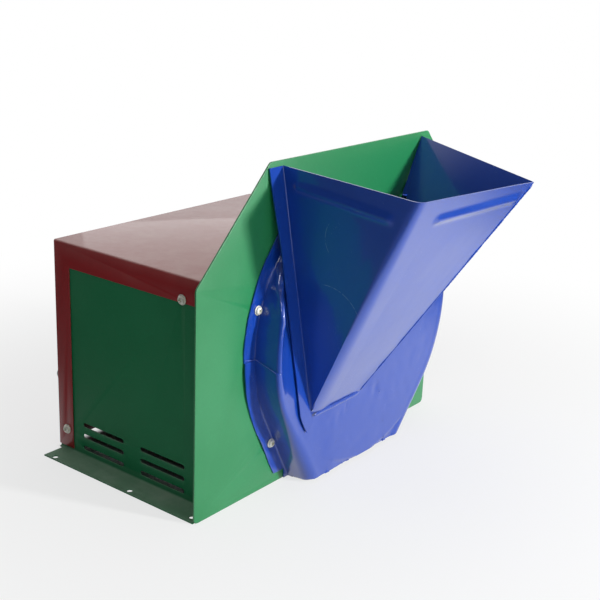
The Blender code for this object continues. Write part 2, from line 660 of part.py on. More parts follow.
def make_chamber_pan():
    """Blue pan: flange on the plate, wall, rounded edge and face, open below as a chute."""
    outline = chamber_outline()
    flange_face = -(GAP + CHAMBER_SHEET)
    edge_steps = 4
    rows = []
    for offset in (FLANGE_WIDTH, FLANGE_WIDTH / 2, 0.0):
        rows.append([(spot + normal * offset, flange_face) for spot, normal in outline])
    for i in range(edge_steps + 1):
        turn = math.pi / 2 * i / edge_steps
        row = []
        for spot, normal in outline:
            inner = spot - normal * CHAMBER_EDGE
            depth = chamber_depth(AXIS_X + inner.x, AXIS_HEIGHT + inner.y)
            edge = min(CHAMBER_EDGE, depth + flange_face - 0.001)
            place = spot - normal * edge * (1 - math.cos(turn))
            row.append((place, -(depth - edge * (1 - math.sin(turn)))))
        rows.append(row)
    for share in (0.85, 0.7, 0.5, 0.25):
        row = []
        for spot, normal in outline:
            place = (spot - normal * CHAMBER_EDGE) * share
            row.append((place, -chamber_depth(AXIS_X + place.x, AXIS_HEIGHT + place.y)))
        rows.append(row)
    shape = bmesh.new()
    grid = [[shape.verts.new(from_axis(place.x, y, place.y)) for place, y in row] for row in rows]
    count = len(outline)
    for outer, inner in zip(grid, grid[1:]):
        for i in range(count):
            k = (i + 1) % count
            shape.faces.new((outer[i], inner[i], inner[k], outer[k]))
    shape.faces.new(grid[-1])
    bmesh.ops.recalc_face_normals(shape, faces=shape.faces)
    shape.faces.ensure_lookup_table()
    if shape.faces[0].normal.y > 0:
        bmesh.ops.reverse_faces(shape, faces=shape.faces)
    mesh = bpy.data.meshes.new("chamber_pan")
    shape.to_mesh(mesh)
    shape.free()
    pan = object_from("chamber_pan", mesh)
    wall = pan.modifiers.new("sheet", "SOLIDIFY")
    wall.thickness = CHAMBER_SHEET
    wall.offset = -1.0
    wall.use_even_offset = True
    pan = bake(pan)

    slope = math.atan2(CHUTE_LIP_BACK - CHUTE_LIP_FRONT, CHAMBER_DEPTH)
    below = box("chute_lip", (0.0, -0.1, -0.1), (PLATE_WIDTH, 0.1, 0.0), cutters)
    below.rotation_euler.x = slope
    below.location = Vector((PLATE_WIDTH / 2, -CHAMBER_DEPTH, CHUTE_LIP_FRONT)) + Vector(
        (0.0, 0.05 * math.sin(slope), -0.05 * math.cos(slope)))
    cut(pan, below)
    for name, low, high in (("flange_foot_left", 0.0, CHUTE_LEFT - FLANGE_INSET_LEFT),
                            ("flange_foot_right", CHUTE_RIGHT + FLANGE_INSET_RIGHT, 0.3)):
        left = 0.0 if low == 0.0 else AXIS_X + low
        cut(pan, box(name, (left, -2.2 * CHAMBER_SHEET, -0.1),
                     (AXIS_X + high, 0.01, FLANGE_FOOT), cutters))
    cut(pan, hopper_block())
    holes = [drill(SCREW_SHANK_RADIUS + GAP, 0.01, (x, 0.0, z), 12) for x, z in chamber_screw_spots()]
    cut(pan, joined("chamber_holes", holes))
    finish(pan, BLUE)


# ---------------------------------------------------------------- hopper
def make_hopper_body():
    """Weld strip, left wall and front wall, folded from one sheet."""
    steps = 8
    fold_steps = 5
    rim_left = RIM_B + (RIM_A - RIM_B).normalized() * FOLD_AT_RIM
    rim_front = RIM_B + (RIM_C - RIM_B).normalized() * FOLD_AT_RIM
    foot_front = FOOT_B + (FOOT_C - FOOT_B).normalized() * FOLD_AT_FOOT
    shape = bmesh.new()
    grid = []
    for i in range(steps + 1):
        t = i / steps
        fold = RIM_A.lerp(FOOT_A, t)
        left = rim_left.lerp(FOOT_A, t)
        corner = RIM_B.lerp(FOOT_B, t)
        front = rim_front.lerp(foot_front, t)
        width = STRIP_TOP_WIDTH + (STRIP_FOOT_WIDTH - STRIP_TOP_WIDTH) * min(1.0, 3 * t)
        row = [fold - Vector((width, 0.0, 0.0)), fold, left]
        for k in range(1, fold_steps):
            s = k / fold_steps
            row.append(left * (1 - s) ** 2 + corner * 2 * s * (1 - s) + front * s ** 2)
        row += [front, RIM_C.lerp(FOOT_C, t)]
        grid.append([shape.verts.new(point) for point in row])
    for upper, lower in zip(grid, grid[1:]):
        for k in range(len(upper) - 1):
            shape.faces.new((upper[k], lower[k], lower[k + 1], upper[k + 1]))
    tip = [shape.verts.new(FOOT_A + Vector(step)) for step in
           ((0.0055, 0.0, -0.014), (-0.0045, 0.0, -0.023), (-0.0125, 0.0, -0.010))]
    shape.faces.new((grid[-1][0], tip[2], tip[1], tip[0], grid[-1][1]))
    bmesh.ops.remove_doubles(shape, verts=shape.verts, dist=1e-6)
    mesh = bpy.data.meshes.new("hopper_body")
    shape.to_mesh(mesh)
    shape.free()
    body = object_from("hopper_body", mesh)
    wall = body.modifiers.new("sheet", "SOLIDIFY")
    wall.thickness = HOPPER_SHEET
    wall.offset = -1.0
    wall.use_even_offset = True
    finish(bake(body), BLUE)


def make_hopper_right_wall():
    """Right wall, welded inside the front wall's edge; its back edge clears the disc."""
    front_normal = (FOOT_B - RIM_B).cross(RIM_C - RIM_B).normalized()
    right_normal = (FOOT_C - RIM_C).cross(RIM_D - RIM_C).normalized()
    inside = math.pi - front_normal.angle(right_normal)
    pull = (HOPPER_SHEET + GAP) / math.sin(inside) + max(0.0, HOPPER_SHEET / math.tan(inside))
    edge = (FOOT_C - RIM_C).normalized()
    across = (RIM_D - RIM_C) - edge * (RIM_D - RIM_C).dot(edge)
    shift = across.normalized() * pull
    back = FOOT_C - RIM_D
    toward_front = (RIM_C - RIM_D).normalized()
    blade_clear = DISC_FRONT - BLADE_THICKNESS - 2 * GAP - DISC_PLAY

    def back_point(share):
        point = RIM_D + back * share
        lift = max(0.0, (point.y - blade_clear) / -toward_front.y)
        return point + toward_front * lift

    turn_in = (blade_clear - RIM_D.y) / back.y
    outline = [RIM_C + shift, FOOT_C + shift, RIM_D + back * turn_in,
               back_point(DISC_NOTCH), RIM_D + back * DISC_NOTCH, RIM_D]
    shape = bmesh.new()
    shape.faces.new([shape.verts.new(point) for point in outline])
    mesh = bpy.data.meshes.new("hopper_right_wall")
    shape.to_mesh(mesh)
    shape.free()
    wall_piece = object_from("hopper_right_wall", mesh)
    wall = wall_piece.modifiers.new("sheet", "SOLIDIFY")
    wall.thickness = HOPPER_SHEET
    wall.offset = -1.0
    finish(bake(wall_piece), BLUE)


# ---------------------------------------------------------------- fasteners
def chamber_screw_spots():
    """(x, z) of the screws in the pan's flange, all the same distance from its wall."""
    left, right = tangent_angle(CHUTE_LEFT, -1), tangent_angle(CHUTE_RIGHT, 1)
    spots = []
    for degrees in CHAMBER_SCREW_ANGLES:
        angle = math.radians(degrees)
        past_round = min(angle - left, right - angle) if left < angle < right else 0.0
        reach = (CHAMBER_RADIUS + CHAMBER_SCREW_INSET) / math.cos(past_round)
        spots.append((AXIS_X + reach * math.cos(angle), AXIS_HEIGHT + reach * math.sin(angle)))
    return spots


def motor_bolt_spots():
    """(x, z) of the motor's flange bolts from the shaft's axis."""
    return [(MOTOR_BOLT_CIRCLE * math.cos(math.radians(angle)),
             MOTOR_BOLT_CIRCLE * math.sin(math.radians(angle))) for angle in (45, 135, 225, 315)]


def make_screw(name, location, turn, washer_radius=SCREW_WASHER_RADIUS):
    """Cross-head screw with its washer; its own +Y points into the sheet."""
    washer = SCREW_WASHER_HEIGHT
    top = washer + SCREW_HEAD_HEIGHT
    head = SCREW_HEAD_RADIUS
    profile = [(0.0, -top), (0.62 * head, -top + 0.0003), (0.92 * head, -top + 0.0012),
               (head, -washer), (washer_radius, -washer), (washer_radius, 0.0),
               (SCREW_SHANK_RADIUS, 0.0), (SCREW_SHANK_RADIUS, SCREW_LENGTH), (0.0, SCREW_LENGTH)]
    screw = turned(name, profile, SCREW_SIDES)
    screw.rotation_euler.z = turn
    screw.location = location
    for a, b in ((CROSS_LENGTH, CROSS_WIDTH), (CROSS_WIDTH, CROSS_LENGTH)):
        bar = box("cross", (-a * head, -top - 0.001, -b * head),
                  (a * head, -top + CROSS_DEPTH, b * head), cutters)
        cut(screw, bar, parent=screw)
    return finish(screw, ZINC)


def make_nut(name, x, y, z, hole_radius, thickness, across=1.75):
    """Hexagon nut, its near face at y."""
    hexagon = ring(hole_radius * across, 6)
    nut = flat(name, [hexagon, ring(hole_radius + GAP, 12)], thickness)
    upright(nut, y + thickness / 2)
    nut.location.x, nut.location.z = x, z
    return finish(nut, ZINC)


def make_fasteners():
    for side, x, turn in (("left", COVER_LEFT, -math.pi / 2), ("right", COVER_RIGHT, math.pi / 2)):
        outward = -GAP if side == "left" else GAP
        for place, (y, z) in zip(("upper", "lower"), COVER_SCREWS):
            make_screw(f"cover_screw_{side}_{place}", (x + outward, y, z), turn)
    names = ("upper_left", "lower_left", "lower_right", "upper_right")
    seat = -(2 * GAP + CHAMBER_SHEET)
    for name, (x, z) in zip(names, chamber_screw_spots()):
        make_screw(f"chamber_screw_{name}", (x, seat, z), 0.0, CHAMBER_WASHER_RADIUS)
        make_nut(f"chamber_nut_{name}", x, PLATE_BACK + GAP, z, SCREW_SHANK_RADIUS,
                 SCREW_NUT_HEIGHT)
    for number, (x, z) in enumerate(motor_bolt_spots(), 1):
        make_motor_bolt(f"motor_bolt_{number}", AXIS_X + x, AXIS_HEIGHT + z)
    make_screw("chute_bolt", (CHUTE_BOLT[0], -GAP, CHUTE_BOLT[1]), 0.0)
    make_nut("chute_bolt_nut", CHUTE_BOLT[0], PLATE_BACK + GAP, CHUTE_BOLT[1],
             SCREW_SHANK_RADIUS, SCREW_NUT_HEIGHT)


# ---------------------------------------------------------------- motor
def make_motor_bolt(name, x, z):
    """Flange bolt: round head inside the chamber, its nut made one with it behind the flange."""
    seat = -GAP
    back = BOX_FRONT + MOTOR_FLANGE_THICKNESS + GAP
    radius, top, nut_end = MOTOR_BOLT_RADIUS, seat - MOTOR_BOLT_HEAD, back + MOTOR_NUT_HEIGHT
    profile = [(0.0, top), (1.4 * radius, top + 0.1 * MOTOR_BOLT_HEAD), (1.7 * radius, seat),
               (radius, seat), (radius, back), (1.65 * radius, back), (1.65 * radius, nut_end),
               (0.0, nut_end)]
    bolt = turned(name, profile, 12)
    bolt.location = (x, 0.0, z)
    finish(bolt, ZINC)


def on_axis(obj, material, parent=machine):
    """A turned piece on the shaft's line; what turns hangs on the rotor's empty."""
    obj.location = AXIS if parent is machine else (0.0, 0.0, 0.0)
    finish(obj, material, parent)
    return obj


def make_front_shield():
    """Motor flange and front bearing seat in one casting."""
    face = BOX_FRONT
    rear = face + MOTOR_FLANGE_THICKNESS
    neck = rear + SHIELD_NECK
    seat = BEARING_RADIUS + GAP
    outer, inner = MOTOR_BODY_RADIUS, MOTOR_BODY_RADIUS - MOTOR_BODY_WALL
    shield = turned("motor_front_shield", [
        (seat, face), (MOTOR_FLANGE_RADIUS, face), (MOTOR_FLANGE_RADIUS, rear),
        (outer + SHIELD_FILLET, rear), (outer, rear + SHIELD_FILLET), (outer, neck), (inner, neck),
        (inner - 0.004, neck - 0.008), (seat, face + BEARING_WIDTH + 0.002)], 32)
    holes = [drill(MOTOR_BOLT_RADIUS + GAP, 0.03, (x, face, z), 12) for x, z in motor_bolt_spots()]
    cutter = joined("flange_holes", holes)
    cutter.location = AXIS
    cut(shield, cutter)
    on_axis(shield, ALUMINIUM)


def make_motor_body():
    """Ribbed housing tube."""
    tip = MOTOR_BODY_RADIUS + FIN_HEIGHT
    outline = []
    half = math.asin(FIN_THICKNESS / 2 / MOTOR_BODY_RADIUS)
    half_tip = math.asin(FIN_THICKNESS / 2 / tip)
    for i in range(FIN_COUNT):
        angle = math.tau * i / FIN_COUNT
        for radius, turn in ((MOTOR_BODY_RADIUS, angle - half), (tip, angle - half_tip),
                             (tip, angle + half_tip), (MOTOR_BODY_RADIUS, angle + half)):
            outline.append((radius * math.cos(turn), radius * math.sin(turn)))
    body = flat("motor_housing", [outline, ring(MOTOR_BODY_RADIUS - MOTOR_BODY_WALL, 40)],
                MOTOR_BODY_LENGTH)
    upright(body, 0.0)
    body.location = from_axis(0.0, (BODY_FRONT + BODY_BACK) / 2)
    finish(body, ALUMINIUM)


def make_stator():
    """Laminated core with a winding ring at each end."""
    middle = (BODY_FRONT + BODY_BACK) / 2
    front, back = middle - STATOR_LENGTH / 2, middle + STATOR_LENGTH / 2
    outer = MOTOR_BODY_RADIUS - MOTOR_BODY_WALL - GAP
    on_axis(turned("stator_core", [(STATOR_BORE, front), (outer, front), (outer, back),
                                   (STATOR_BORE, back)], 32), STEEL)
    low, high = STATOR_BORE + 0.003, outer - 0.004
    for name, start, way in (("stator_winding_front", front - GAP, -1),
                             ("stator_winding_rear", back + GAP, 1)):
        on_axis(turned(name, [(low, start), (high, start), (high - 0.001, start + way * 0.011),
                              (high - 0.005, start + way * 0.015), (low + 0.005, start + way * 0.015),
                              (low + 0.001, start + way * 0.011)], 24), COPPER)


def make_rear_shield():
    """Rear end shield with its bearing seat and the shaft's exit to the fan."""
    face = BODY_BACK + GAP
    back = face + REAR_SHIELD_LENGTH
    seat = BEARING_RADIUS + GAP
    outer = MOTOR_BODY_RADIUS
    on_axis(turned("motor_rear_shield", [
        (seat, face + 0.002), (outer - 0.010, face), (outer, face), (outer, face + 0.010),
        (outer - 0.020, back), (FAN_SHAFT_RADIUS + 0.001, back),
        (FAN_SHAFT_RADIUS + 0.001, back - 0.002), (seat, back - 0.002)], 32), ALUMINIUM)


def make_bearings():
    """Ball bearings in both shields."""
    inner, outer = SHAFT_RADIUS + GAP, BEARING_RADIUS
    for name, start in (("bearing_front", BOX_FRONT + 0.0010),
                        ("bearing_rear", BODY_BACK + GAP + REAR_SHIELD_LENGTH - 0.0023 - BEARING_WIDTH)):
        end = start + BEARING_WIDTH
        on_axis(turned(name, [(inner, start), (outer - 0.0005, start), (outer, start + 0.0005),
                              (outer, end), (inner, end)], 24), STEEL)


def make_fan_cowl():
    """Sheet cowl over the fan, with eight openings in its end."""
    inner = MOTOR_BODY_RADIUS + GAP
    outer = inner + COWL_SHEET
    cowl = turned("fan_cowl", [
        (inner, COWL_FRONT), (outer, COWL_FRONT), (outer, COWL_BACK - 0.004),
        (outer - 0.004, COWL_BACK), (0.0, COWL_BACK), (0.0, COWL_BACK - COWL_SHEET),
        (inner - 0.004, COWL_BACK - COWL_SHEET), (inner, COWL_BACK - 0.004 - COWL_SHEET)], 32)
    vents = []
    for i in range(8):
        vent = box("vent", (0.016, -0.005, -0.004), (0.048, 0.005, 0.004), cutters)
        angle = math.tau * i / 8
        vent.location = (0.032 * math.cos(angle), COWL_BACK, 0.032 * math.sin(angle))
        vent.rotation_euler.y = -angle
        vents.append(vent)
    cutter = joined("cowl_vents", vents)
    cutter.location = AXIS
    cut(cowl, cutter)
    on_axis(cowl, ALUMINIUM)


def make_terminal_box():
    """Terminal box on the motor's side, with its lid."""
    right = AXIS_X - MOTOR_BODY_RADIUS - FIN_HEIGHT - GAP
    middle = (BODY_FRONT + BODY_BACK) / 2
    half = TERMINAL_BOX_SIZE / 2
    low = Vector((right - TERMINAL_BOX_DEPTH, middle - half, AXIS_HEIGHT - half))
    high = Vector((right, middle + half, AXIS_HEIGHT + half))
    shell = box("terminal_box", low, high)
    wall = Vector((TERMINAL_BOX_WALL,) * 3)
    room = [box("terminal_room", low + wall - Vector((0.02, 0.0, 0.0)), high - wall, cutters),
            drill(LEAD_RADIUS + GAP, 2 * TERMINAL_BOX_WALL,
                  (right - TERMINAL_BOX_DEPTH / 2, high.y, AXIS_HEIGHT), 16)]
    for cutter in room:
        cut(shell, cutter)
    finish(shell, BLACK)
    lid = box("terminal_box_lid", (low.x - GAP - TERMINAL_BOX_WALL, low.y, low.z),
              (low.x - GAP, high.y, high.z))
    finish(lid, BLACK)


def make_capacitor():
    """Run capacitor under the motor, in a strap that meets the lowest fin."""
    height = AXIS_HEIGHT - MOTOR_BODY_RADIUS - FIN_HEIGHT - CAPACITOR_DROP - CAPACITOR_RADIUS
    front = BODY_FRONT + 0.010
    radius = CAPACITOR_RADIUS
    can = turned("run_capacitor", [(0.0, front), (radius - 0.001, front), (radius, front + 0.001),
                                   (radius, front + CAPACITOR_LENGTH - 0.003),
                                   (radius - 0.002, front + CAPACITOR_LENGTH - 0.001),
                                   (0.0, front + CAPACITOR_LENGTH)], 24)
    can.location = (AXIS_X, 0.0, height)
    finish(can, BLACK)
    middle = front + CAPACITOR_LENGTH / 2
    strap = turned("capacitor_strap", [(radius + GAP, middle - 0.006), (radius + 0.0018, middle - 0.006),
                                       (radius + 0.0018, middle + 0.006), (radius + GAP, middle + 0.006)], 24)
    strap.location = (AXIS_X, 0.0, height)
    post = box("strap_post", (AXIS_X - 0.005, middle - 0.006, height + radius + 2 * GAP),
               (AXIS_X + 0.005, middle + 0.006, height + radius + CAPACITOR_DROP - GAP), cutters)
    cut(strap, post, "UNION")
    finish(strap, ZINC)


# ---------------------------------------------------------------- what turns
def make_shaft():
    nose, body, tail = SHAFT_NOSE_RADIUS, SHAFT_RADIUS, FAN_SHAFT_RADIUS
    step = DISC_BACK + GAP
    rear = BODY_BACK + GAP + REAR_SHIELD_LENGTH - 0.0023
    on_axis(turned("shaft", [(0.0, SHAFT_FRONT), (nose - 0.001, SHAFT_FRONT), (nose, SHAFT_FRONT + 0.001),
                             (nose, step), (body, step), (body, rear), (tail, rear),
                             (tail, FAN_BACK + 0.001), (0.0, FAN_BACK + 0.001)], 24), STEEL, rotor)


def make_rotor_core():
    middle = (BODY_FRONT + BODY_BACK) / 2
    half = STATOR_LENGTH / 2 + 0.002
    outer, inner = STATOR_BORE - ROTOR_AIR_GAP, SHAFT_RADIUS + GAP
    on_axis(turned("rotor_core", [(inner, middle - half), (outer, middle - half),
                                  (outer, middle + half), (inner, middle + half)], 32), STEEL, rotor)


def make_fan():
    """Eight straight blades on a hub."""
    outline = []
    hub = FAN_SHAFT_RADIUS + 0.007
    for i in range(8):
        angle = math.tau * i / 8
        for radius, thickness, side in ((hub, 0.003, -1), (FAN_RADIUS, 0.002, -1),
                                        (FAN_RADIUS, 0.002, 1), (hub, 0.003, 1)):
            turn = angle + side * math.asin(thickness / 2 / radius)
            outline.append((radius * math.cos(turn), radius * math.sin(turn)))
    fan = flat("cooling_fan", [outline, ring(FAN_SHAFT_RADIUS + GAP, 24)], FAN_WIDTH)
    upright(fan, 0.0)
    fan.location = (0.0, (FAN_FRONT + FAN_BACK) / 2, 0.0)
    finish(fan, BLACK, rotor)


def make_disc():
    """Knife disc with a slot for each blade, its hub behind, washer and nut in front."""
    outlines = [ring(DISC_RADIUS, 56), ring(SHAFT_NOSE_RADIUS + GAP, 24)]
    for i in range(BLADE_COUNT):
        turn = math.tau * i / BLADE_COUNT
        across = Vector((-math.sin(turn), math.cos(turn)))
        along = Vector((math.cos(turn), math.sin(turn)))
        near, far = BLADE_INNER + 0.006, BLADE_INNER + BLADE_LENGTH - 0.006
        first, last = -SLOT_AHEAD - SLOT_OPENING, -SLOT_AHEAD
        outlines.append([tuple(along * a + across * b) for a, b in
                         ((near, first), (far, first), (far, last), (near, last))])
    disc = flat("cutting_disc", outlines, DISC_THICKNESS)
    upright(disc, 0.0)
    disc.location = (0.0, (DISC_BACK + DISC_FRONT) / 2, 0.0)
    finish(disc, STEEL, rotor)

    inner = SHAFT_RADIUS + GAP
    hub_front = DISC_BACK + GAP
    hub_back = -SEAL_LIP - 2 * GAP
    on_axis(turned("disc_hub", [(inner, hub_front), (HUB_RADIUS, hub_front),
                                (HUB_RADIUS, hub_front + 0.003), (HUB_RADIUS * 0.65, hub_front + 0.004),
                                (HUB_RADIUS * 0.65, hub_back), (inner, hub_back)], 24), STEEL, rotor)
    inner = SHAFT_NOSE_RADIUS + GAP
    washer_back = DISC_FRONT - GAP
    washer_front = washer_back - DISC_WASHER_THICKNESS
    on_axis(turned("disc_washer", [(inner, washer_front), (DISC_WASHER_RADIUS, washer_front),
                                   (DISC_WASHER_RADIUS, washer_back), (inner, washer_back)], 24),
            ZINC, rotor)
    nut_back = washer_front - GAP
    nut = make_nut("disc_nut", 0.0, nut_back - DISC_NUT_HEIGHT, 0.0, SHAFT_NOSE_RADIUS,
                   DISC_NUT_HEIGHT, 1.65)
    nut.parent = rotor


def make_blade(number):
    """Toothed blade with its two rivets."""
    turn = math.tau * (number - 1) / BLADE_COUNT
    outline = [(BLADE_INNER, BLADE_WIDTH), (BLADE_INNER, 0.0)]
    for i in range(TOOTH_COUNT):
        for part, depth in ((0.35, TOOTH_DEPTH), (0.65, TOOTH_DEPTH), (1.0, 0.0)):
            share = (i + part) / TOOTH_COUNT
            bow = 4 * EDGE_BOW * share * (1 - share)
            outline.append((BLADE_INNER + BLADE_LENGTH * share, -depth - bow))
    outline.append((BLADE_INNER + BLADE_LENGTH, BLADE_WIDTH))
    blade = flat(f"blade_{number}", [outline], BLADE_THICKNESS)
    upright(blade, 0.0)
    blade.location = (0.0, DISC_FRONT - GAP - BLADE_THICKNESS / 2, 0.0)
    blade.rotation_euler.y = -turn
    for spot in (0.2, 0.8):
        rivet = turned("rivet", [(0.0, -0.0030), (0.0030, -0.0022), (0.0040, -0.0006),
                                 (0.0040, 0.0004), (0.0, 0.0004)], 12, cutters)
        rivet.rotation_euler.x = -math.pi / 2
        rivet.location = (BLADE_INNER + spot * BLADE_LENGTH, BLADE_WIDTH * 0.6, BLADE_THICKNESS / 2)
        cut(blade, rivet, "UNION", parent=blade)
    finish(blade, STEEL, rotor)


# ---------------------------------------------------------------- seal, leads and switch
def make_shaft_seal():
    """Lip seal in the plate's hole, round the shaft."""
    on_axis(turned("shaft_seal", [
        (SHAFT_RADIUS + GAP, -SEAL_LIP), (BEARING_RADIUS - 0.004, -SEAL_LIP), (BEARING_RADIUS, 0.0),
        (BEARING_RADIUS, PLATE_BACK), (SHAFT_RADIUS + GAP, PLATE_BACK)], 24), RUBBER)


def make_gland():
    """Cable gland through the cover's back, with its locknut inside."""
    wall = COVER_SHEET + GAP
    bore = LEAD_RADIUS + GAP
    radius, thread = GLAND_RADIUS, GLAND_THREAD_RADIUS
    gland = turned("cable_gland", [
        (bore, -0.012), (thread, -0.012), (thread, GAP), (radius, GAP), (radius, 0.006),
        (radius * 0.88, 0.007), (radius * 0.88, 0.014), (radius * 0.80, 0.018),
        (radius * 0.58, GLAND_LENGTH - 0.002), (radius * 0.50, GLAND_LENGTH), (bore, GLAND_LENGTH)], 24)
    gland.location = GLAND_SPOT
    finish(gland, BLACK)
    make_nut("gland_locknut", GLAND_SPOT.x, GLAND_SPOT.y - wall - LOCKNUT_HEIGHT, GLAND_SPOT.z,
             thread, LOCKNUT_HEIGHT, 1.5).data.materials[0] = BLACK


def make_switch():
    """Rocker switch in the cover's back: body with its recess, and the rocker on a pivot."""
    bezel = Vector((SWITCH_BEZEL_WIDTH / 2, 0.0, SWITCH_BEZEL_TALL / 2))
    body = Vector((SWITCH_BODY_WIDTH / 2, 0.0, SWITCH_BODY_TALL / 2))
    out = Vector((0.0, SWITCH_BEZEL_HEIGHT + GAP, 0.0))
    shell = box("switch_body", SWITCH_SPOT - bezel + Vector((0.0, GAP, 0.0)), SWITCH_SPOT + bezel + out)
    housing = box("switch_housing", SWITCH_SPOT - body - Vector((0.0, SWITCH_BODY_DEPTH, 0.0)),
                  SWITCH_SPOT + body + Vector((0.0, 0.001, 0.0)), cutters)
    cut(shell, housing, "UNION")
    half = Vector((ROCKER_WIDTH / 2 + GAP, 0.0, ROCKER_TALL / 2 + ROCKER_PLAY))
    cut(shell, box("switch_recess", SWITCH_SPOT - half - Vector((0.0, ROCKER_RECESS, 0.0)),
                   SWITCH_SPOT + half + Vector((0.0, 0.02, 0.0)), cutters))
    finish(shell, BLACK)
    pivot = add_empty("rocker_axis", SWITCH_SPOT + Vector((0.0, ROCKER_PIVOT, 0.0)), machine)
    end = ROCKER_TALL / 2
    rise = SWITCH_BEZEL_HEIGHT - ROCKER_PIVOT
    rocker = flat("switch_rocker", [[(-end, rise + 0.0014), (0.0, rise - 0.0002), (end, rise + 0.0014),
                                     (end, 0.0), (end * 0.4, -0.0035), (-end * 0.4, -0.0035),
                                     (-end, 0.0)]], ROCKER_WIDTH)
    rocker.rotation_mode = "ZYX"
    rocker.rotation_euler = (ROCKER_TILT, math.pi / 2, 0.0)
    finish(rocker, BLACK, pivot)


def make_lead(name, points):
    """A round lead along a smooth line through its points."""
    path = [Vector(point) for point in points]
    line = []
    for i in range(len(path) - 1):
        before, start, end, after = (path[max(i - 1, 0)], path[i], path[i + 1],
                                     path[min(i + 2, len(path) - 1)])
        for k in range(LEAD_STEPS):
            t = k / LEAD_STEPS
            line.append(0.5 * (2 * start + (end - before) * t
                               + (2 * before - 5 * start + 4 * end - after) * t ** 2
                               + (3 * start - before - 3 * end + after) * t ** 3))
    line.append(path[-1])
    curve = bpy.data.curves.new(name, "CURVE")
    curve.dimensions = "3D"
    curve.bevel_depth = LEAD_RADIUS
    curve.bevel_resolution = 2
    curve.use_fill_caps = True
    spline = curve.splines.new("POLY")
    spline.points.add(len(line) - 1)
    for spot, point in zip(spline.points, line):
        spot.co = (*point, 1.0)
    obj = bpy.data.objects.new(name, curve)
    parts.objects.link(obj)
    finish(bake(obj), RUBBER)


def make_leads():
    """Leads inside the box: inlet to switch, switch to motor."""
    gland = GLAND_SPOT + Vector((0.0, -0.012 - GAP, 0.0))
    switch_back = SWITCH_SPOT.y - SWITCH_BODY_DEPTH - GAP
    low_tab = Vector((SWITCH_SPOT.x, switch_back, SWITCH_SPOT.z - SWITCH_BODY_TALL / 4))
    high_tab = Vector((SWITCH_SPOT.x, switch_back, SWITCH_SPOT.z + SWITCH_BODY_TALL / 4))
    entry = Vector((AXIS_X - MOTOR_BODY_RADIUS - FIN_HEIGHT - GAP - TERMINAL_BOX_DEPTH / 2,
                    (BODY_FRONT + BODY_BACK + TERMINAL_BOX_SIZE) / 2 - TERMINAL_BOX_WALL, AXIS_HEIGHT))
    back = Vector((0.0, -LEAD_STRAIGHT, 0.0))
    make_lead("lead_inlet_to_switch", [
        gland, gland + back, gland + 2 * back, gland.lerp(low_tab, 0.35) + 4 * back,
        gland.lerp(low_tab, 0.7) + 4 * back, low_tab + 2 * back, low_tab + back, low_tab])
    make_lead("lead_switch_to_motor", [
        high_tab, high_tab + back, high_tab + 2 * back, high_tab.lerp(entry, 0.4) + 2.5 * back,
        entry - 5 * back, entry - 2 * back, entry - back, entry])


make_front_plate()
make_side_panel("side_panel_left", -1)
make_side_panel("side_panel_right", 1)
make_cover()
make_chamber_pan()
make_hopper_body()
make_hopper_right_wall()
make_fasteners()
make_front_shield()
make_motor_body()
make_stator()
make_rear_shield()
make_bearings()
make_fan_cowl()
make_terminal_box()
make_capacitor()
make_shaft()
make_rotor_core()
make_fan()
make_disc()
for blade_number in range(1, BLADE_COUNT + 1):
    make_blade(blade_number)
make_shaft_seal()
make_gland()
make_switch()
make_leads()
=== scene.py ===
import math

import bmesh
import bpy
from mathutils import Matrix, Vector, noise


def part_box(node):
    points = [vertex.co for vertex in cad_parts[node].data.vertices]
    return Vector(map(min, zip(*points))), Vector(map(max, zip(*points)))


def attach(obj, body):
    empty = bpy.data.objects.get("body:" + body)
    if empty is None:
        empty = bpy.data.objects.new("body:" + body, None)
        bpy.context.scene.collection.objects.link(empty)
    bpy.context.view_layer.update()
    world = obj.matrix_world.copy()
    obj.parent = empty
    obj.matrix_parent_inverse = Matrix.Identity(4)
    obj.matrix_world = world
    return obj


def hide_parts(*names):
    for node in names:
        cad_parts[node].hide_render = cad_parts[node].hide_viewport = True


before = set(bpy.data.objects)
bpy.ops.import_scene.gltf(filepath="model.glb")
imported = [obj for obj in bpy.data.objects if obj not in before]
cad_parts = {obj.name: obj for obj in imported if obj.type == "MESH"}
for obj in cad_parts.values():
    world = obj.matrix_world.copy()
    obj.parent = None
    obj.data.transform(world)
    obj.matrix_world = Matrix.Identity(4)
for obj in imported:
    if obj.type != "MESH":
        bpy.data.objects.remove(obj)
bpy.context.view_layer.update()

# ---------------------------------------------------------------- places read from the frame
PLATE_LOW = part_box("front_plate")[0]
DISC_LOW, DISC_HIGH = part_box("cutting_disc")
COVER_LOW, COVER_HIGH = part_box("cover")
LEFT_EDGE = PLATE_LOW.x
PLATE_FACE = PLATE_LOW.y
AXIS_X = (DISC_LOW.x + DISC_HIGH.x) / 2
AXIS_Z = (DISC_LOW.z + DISC_HIGH.z) / 2
SCREW_PLACES = ("upper_left", "lower_left", "lower_right", "upper_right")
SCREW_SEATS = [sum(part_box("chamber_screw_" + spot), Vector()) / 2 for spot in SCREW_PLACES]

# ---------------------------------------------------------------- sizes of the fine sheets
GAP = 0.0003
SHEET = 0.0012
SEAT = GAP + SHEET           # outside of a sheet that lies on the plate
BENCH_ROOM = 0.0002          # least height over the bench

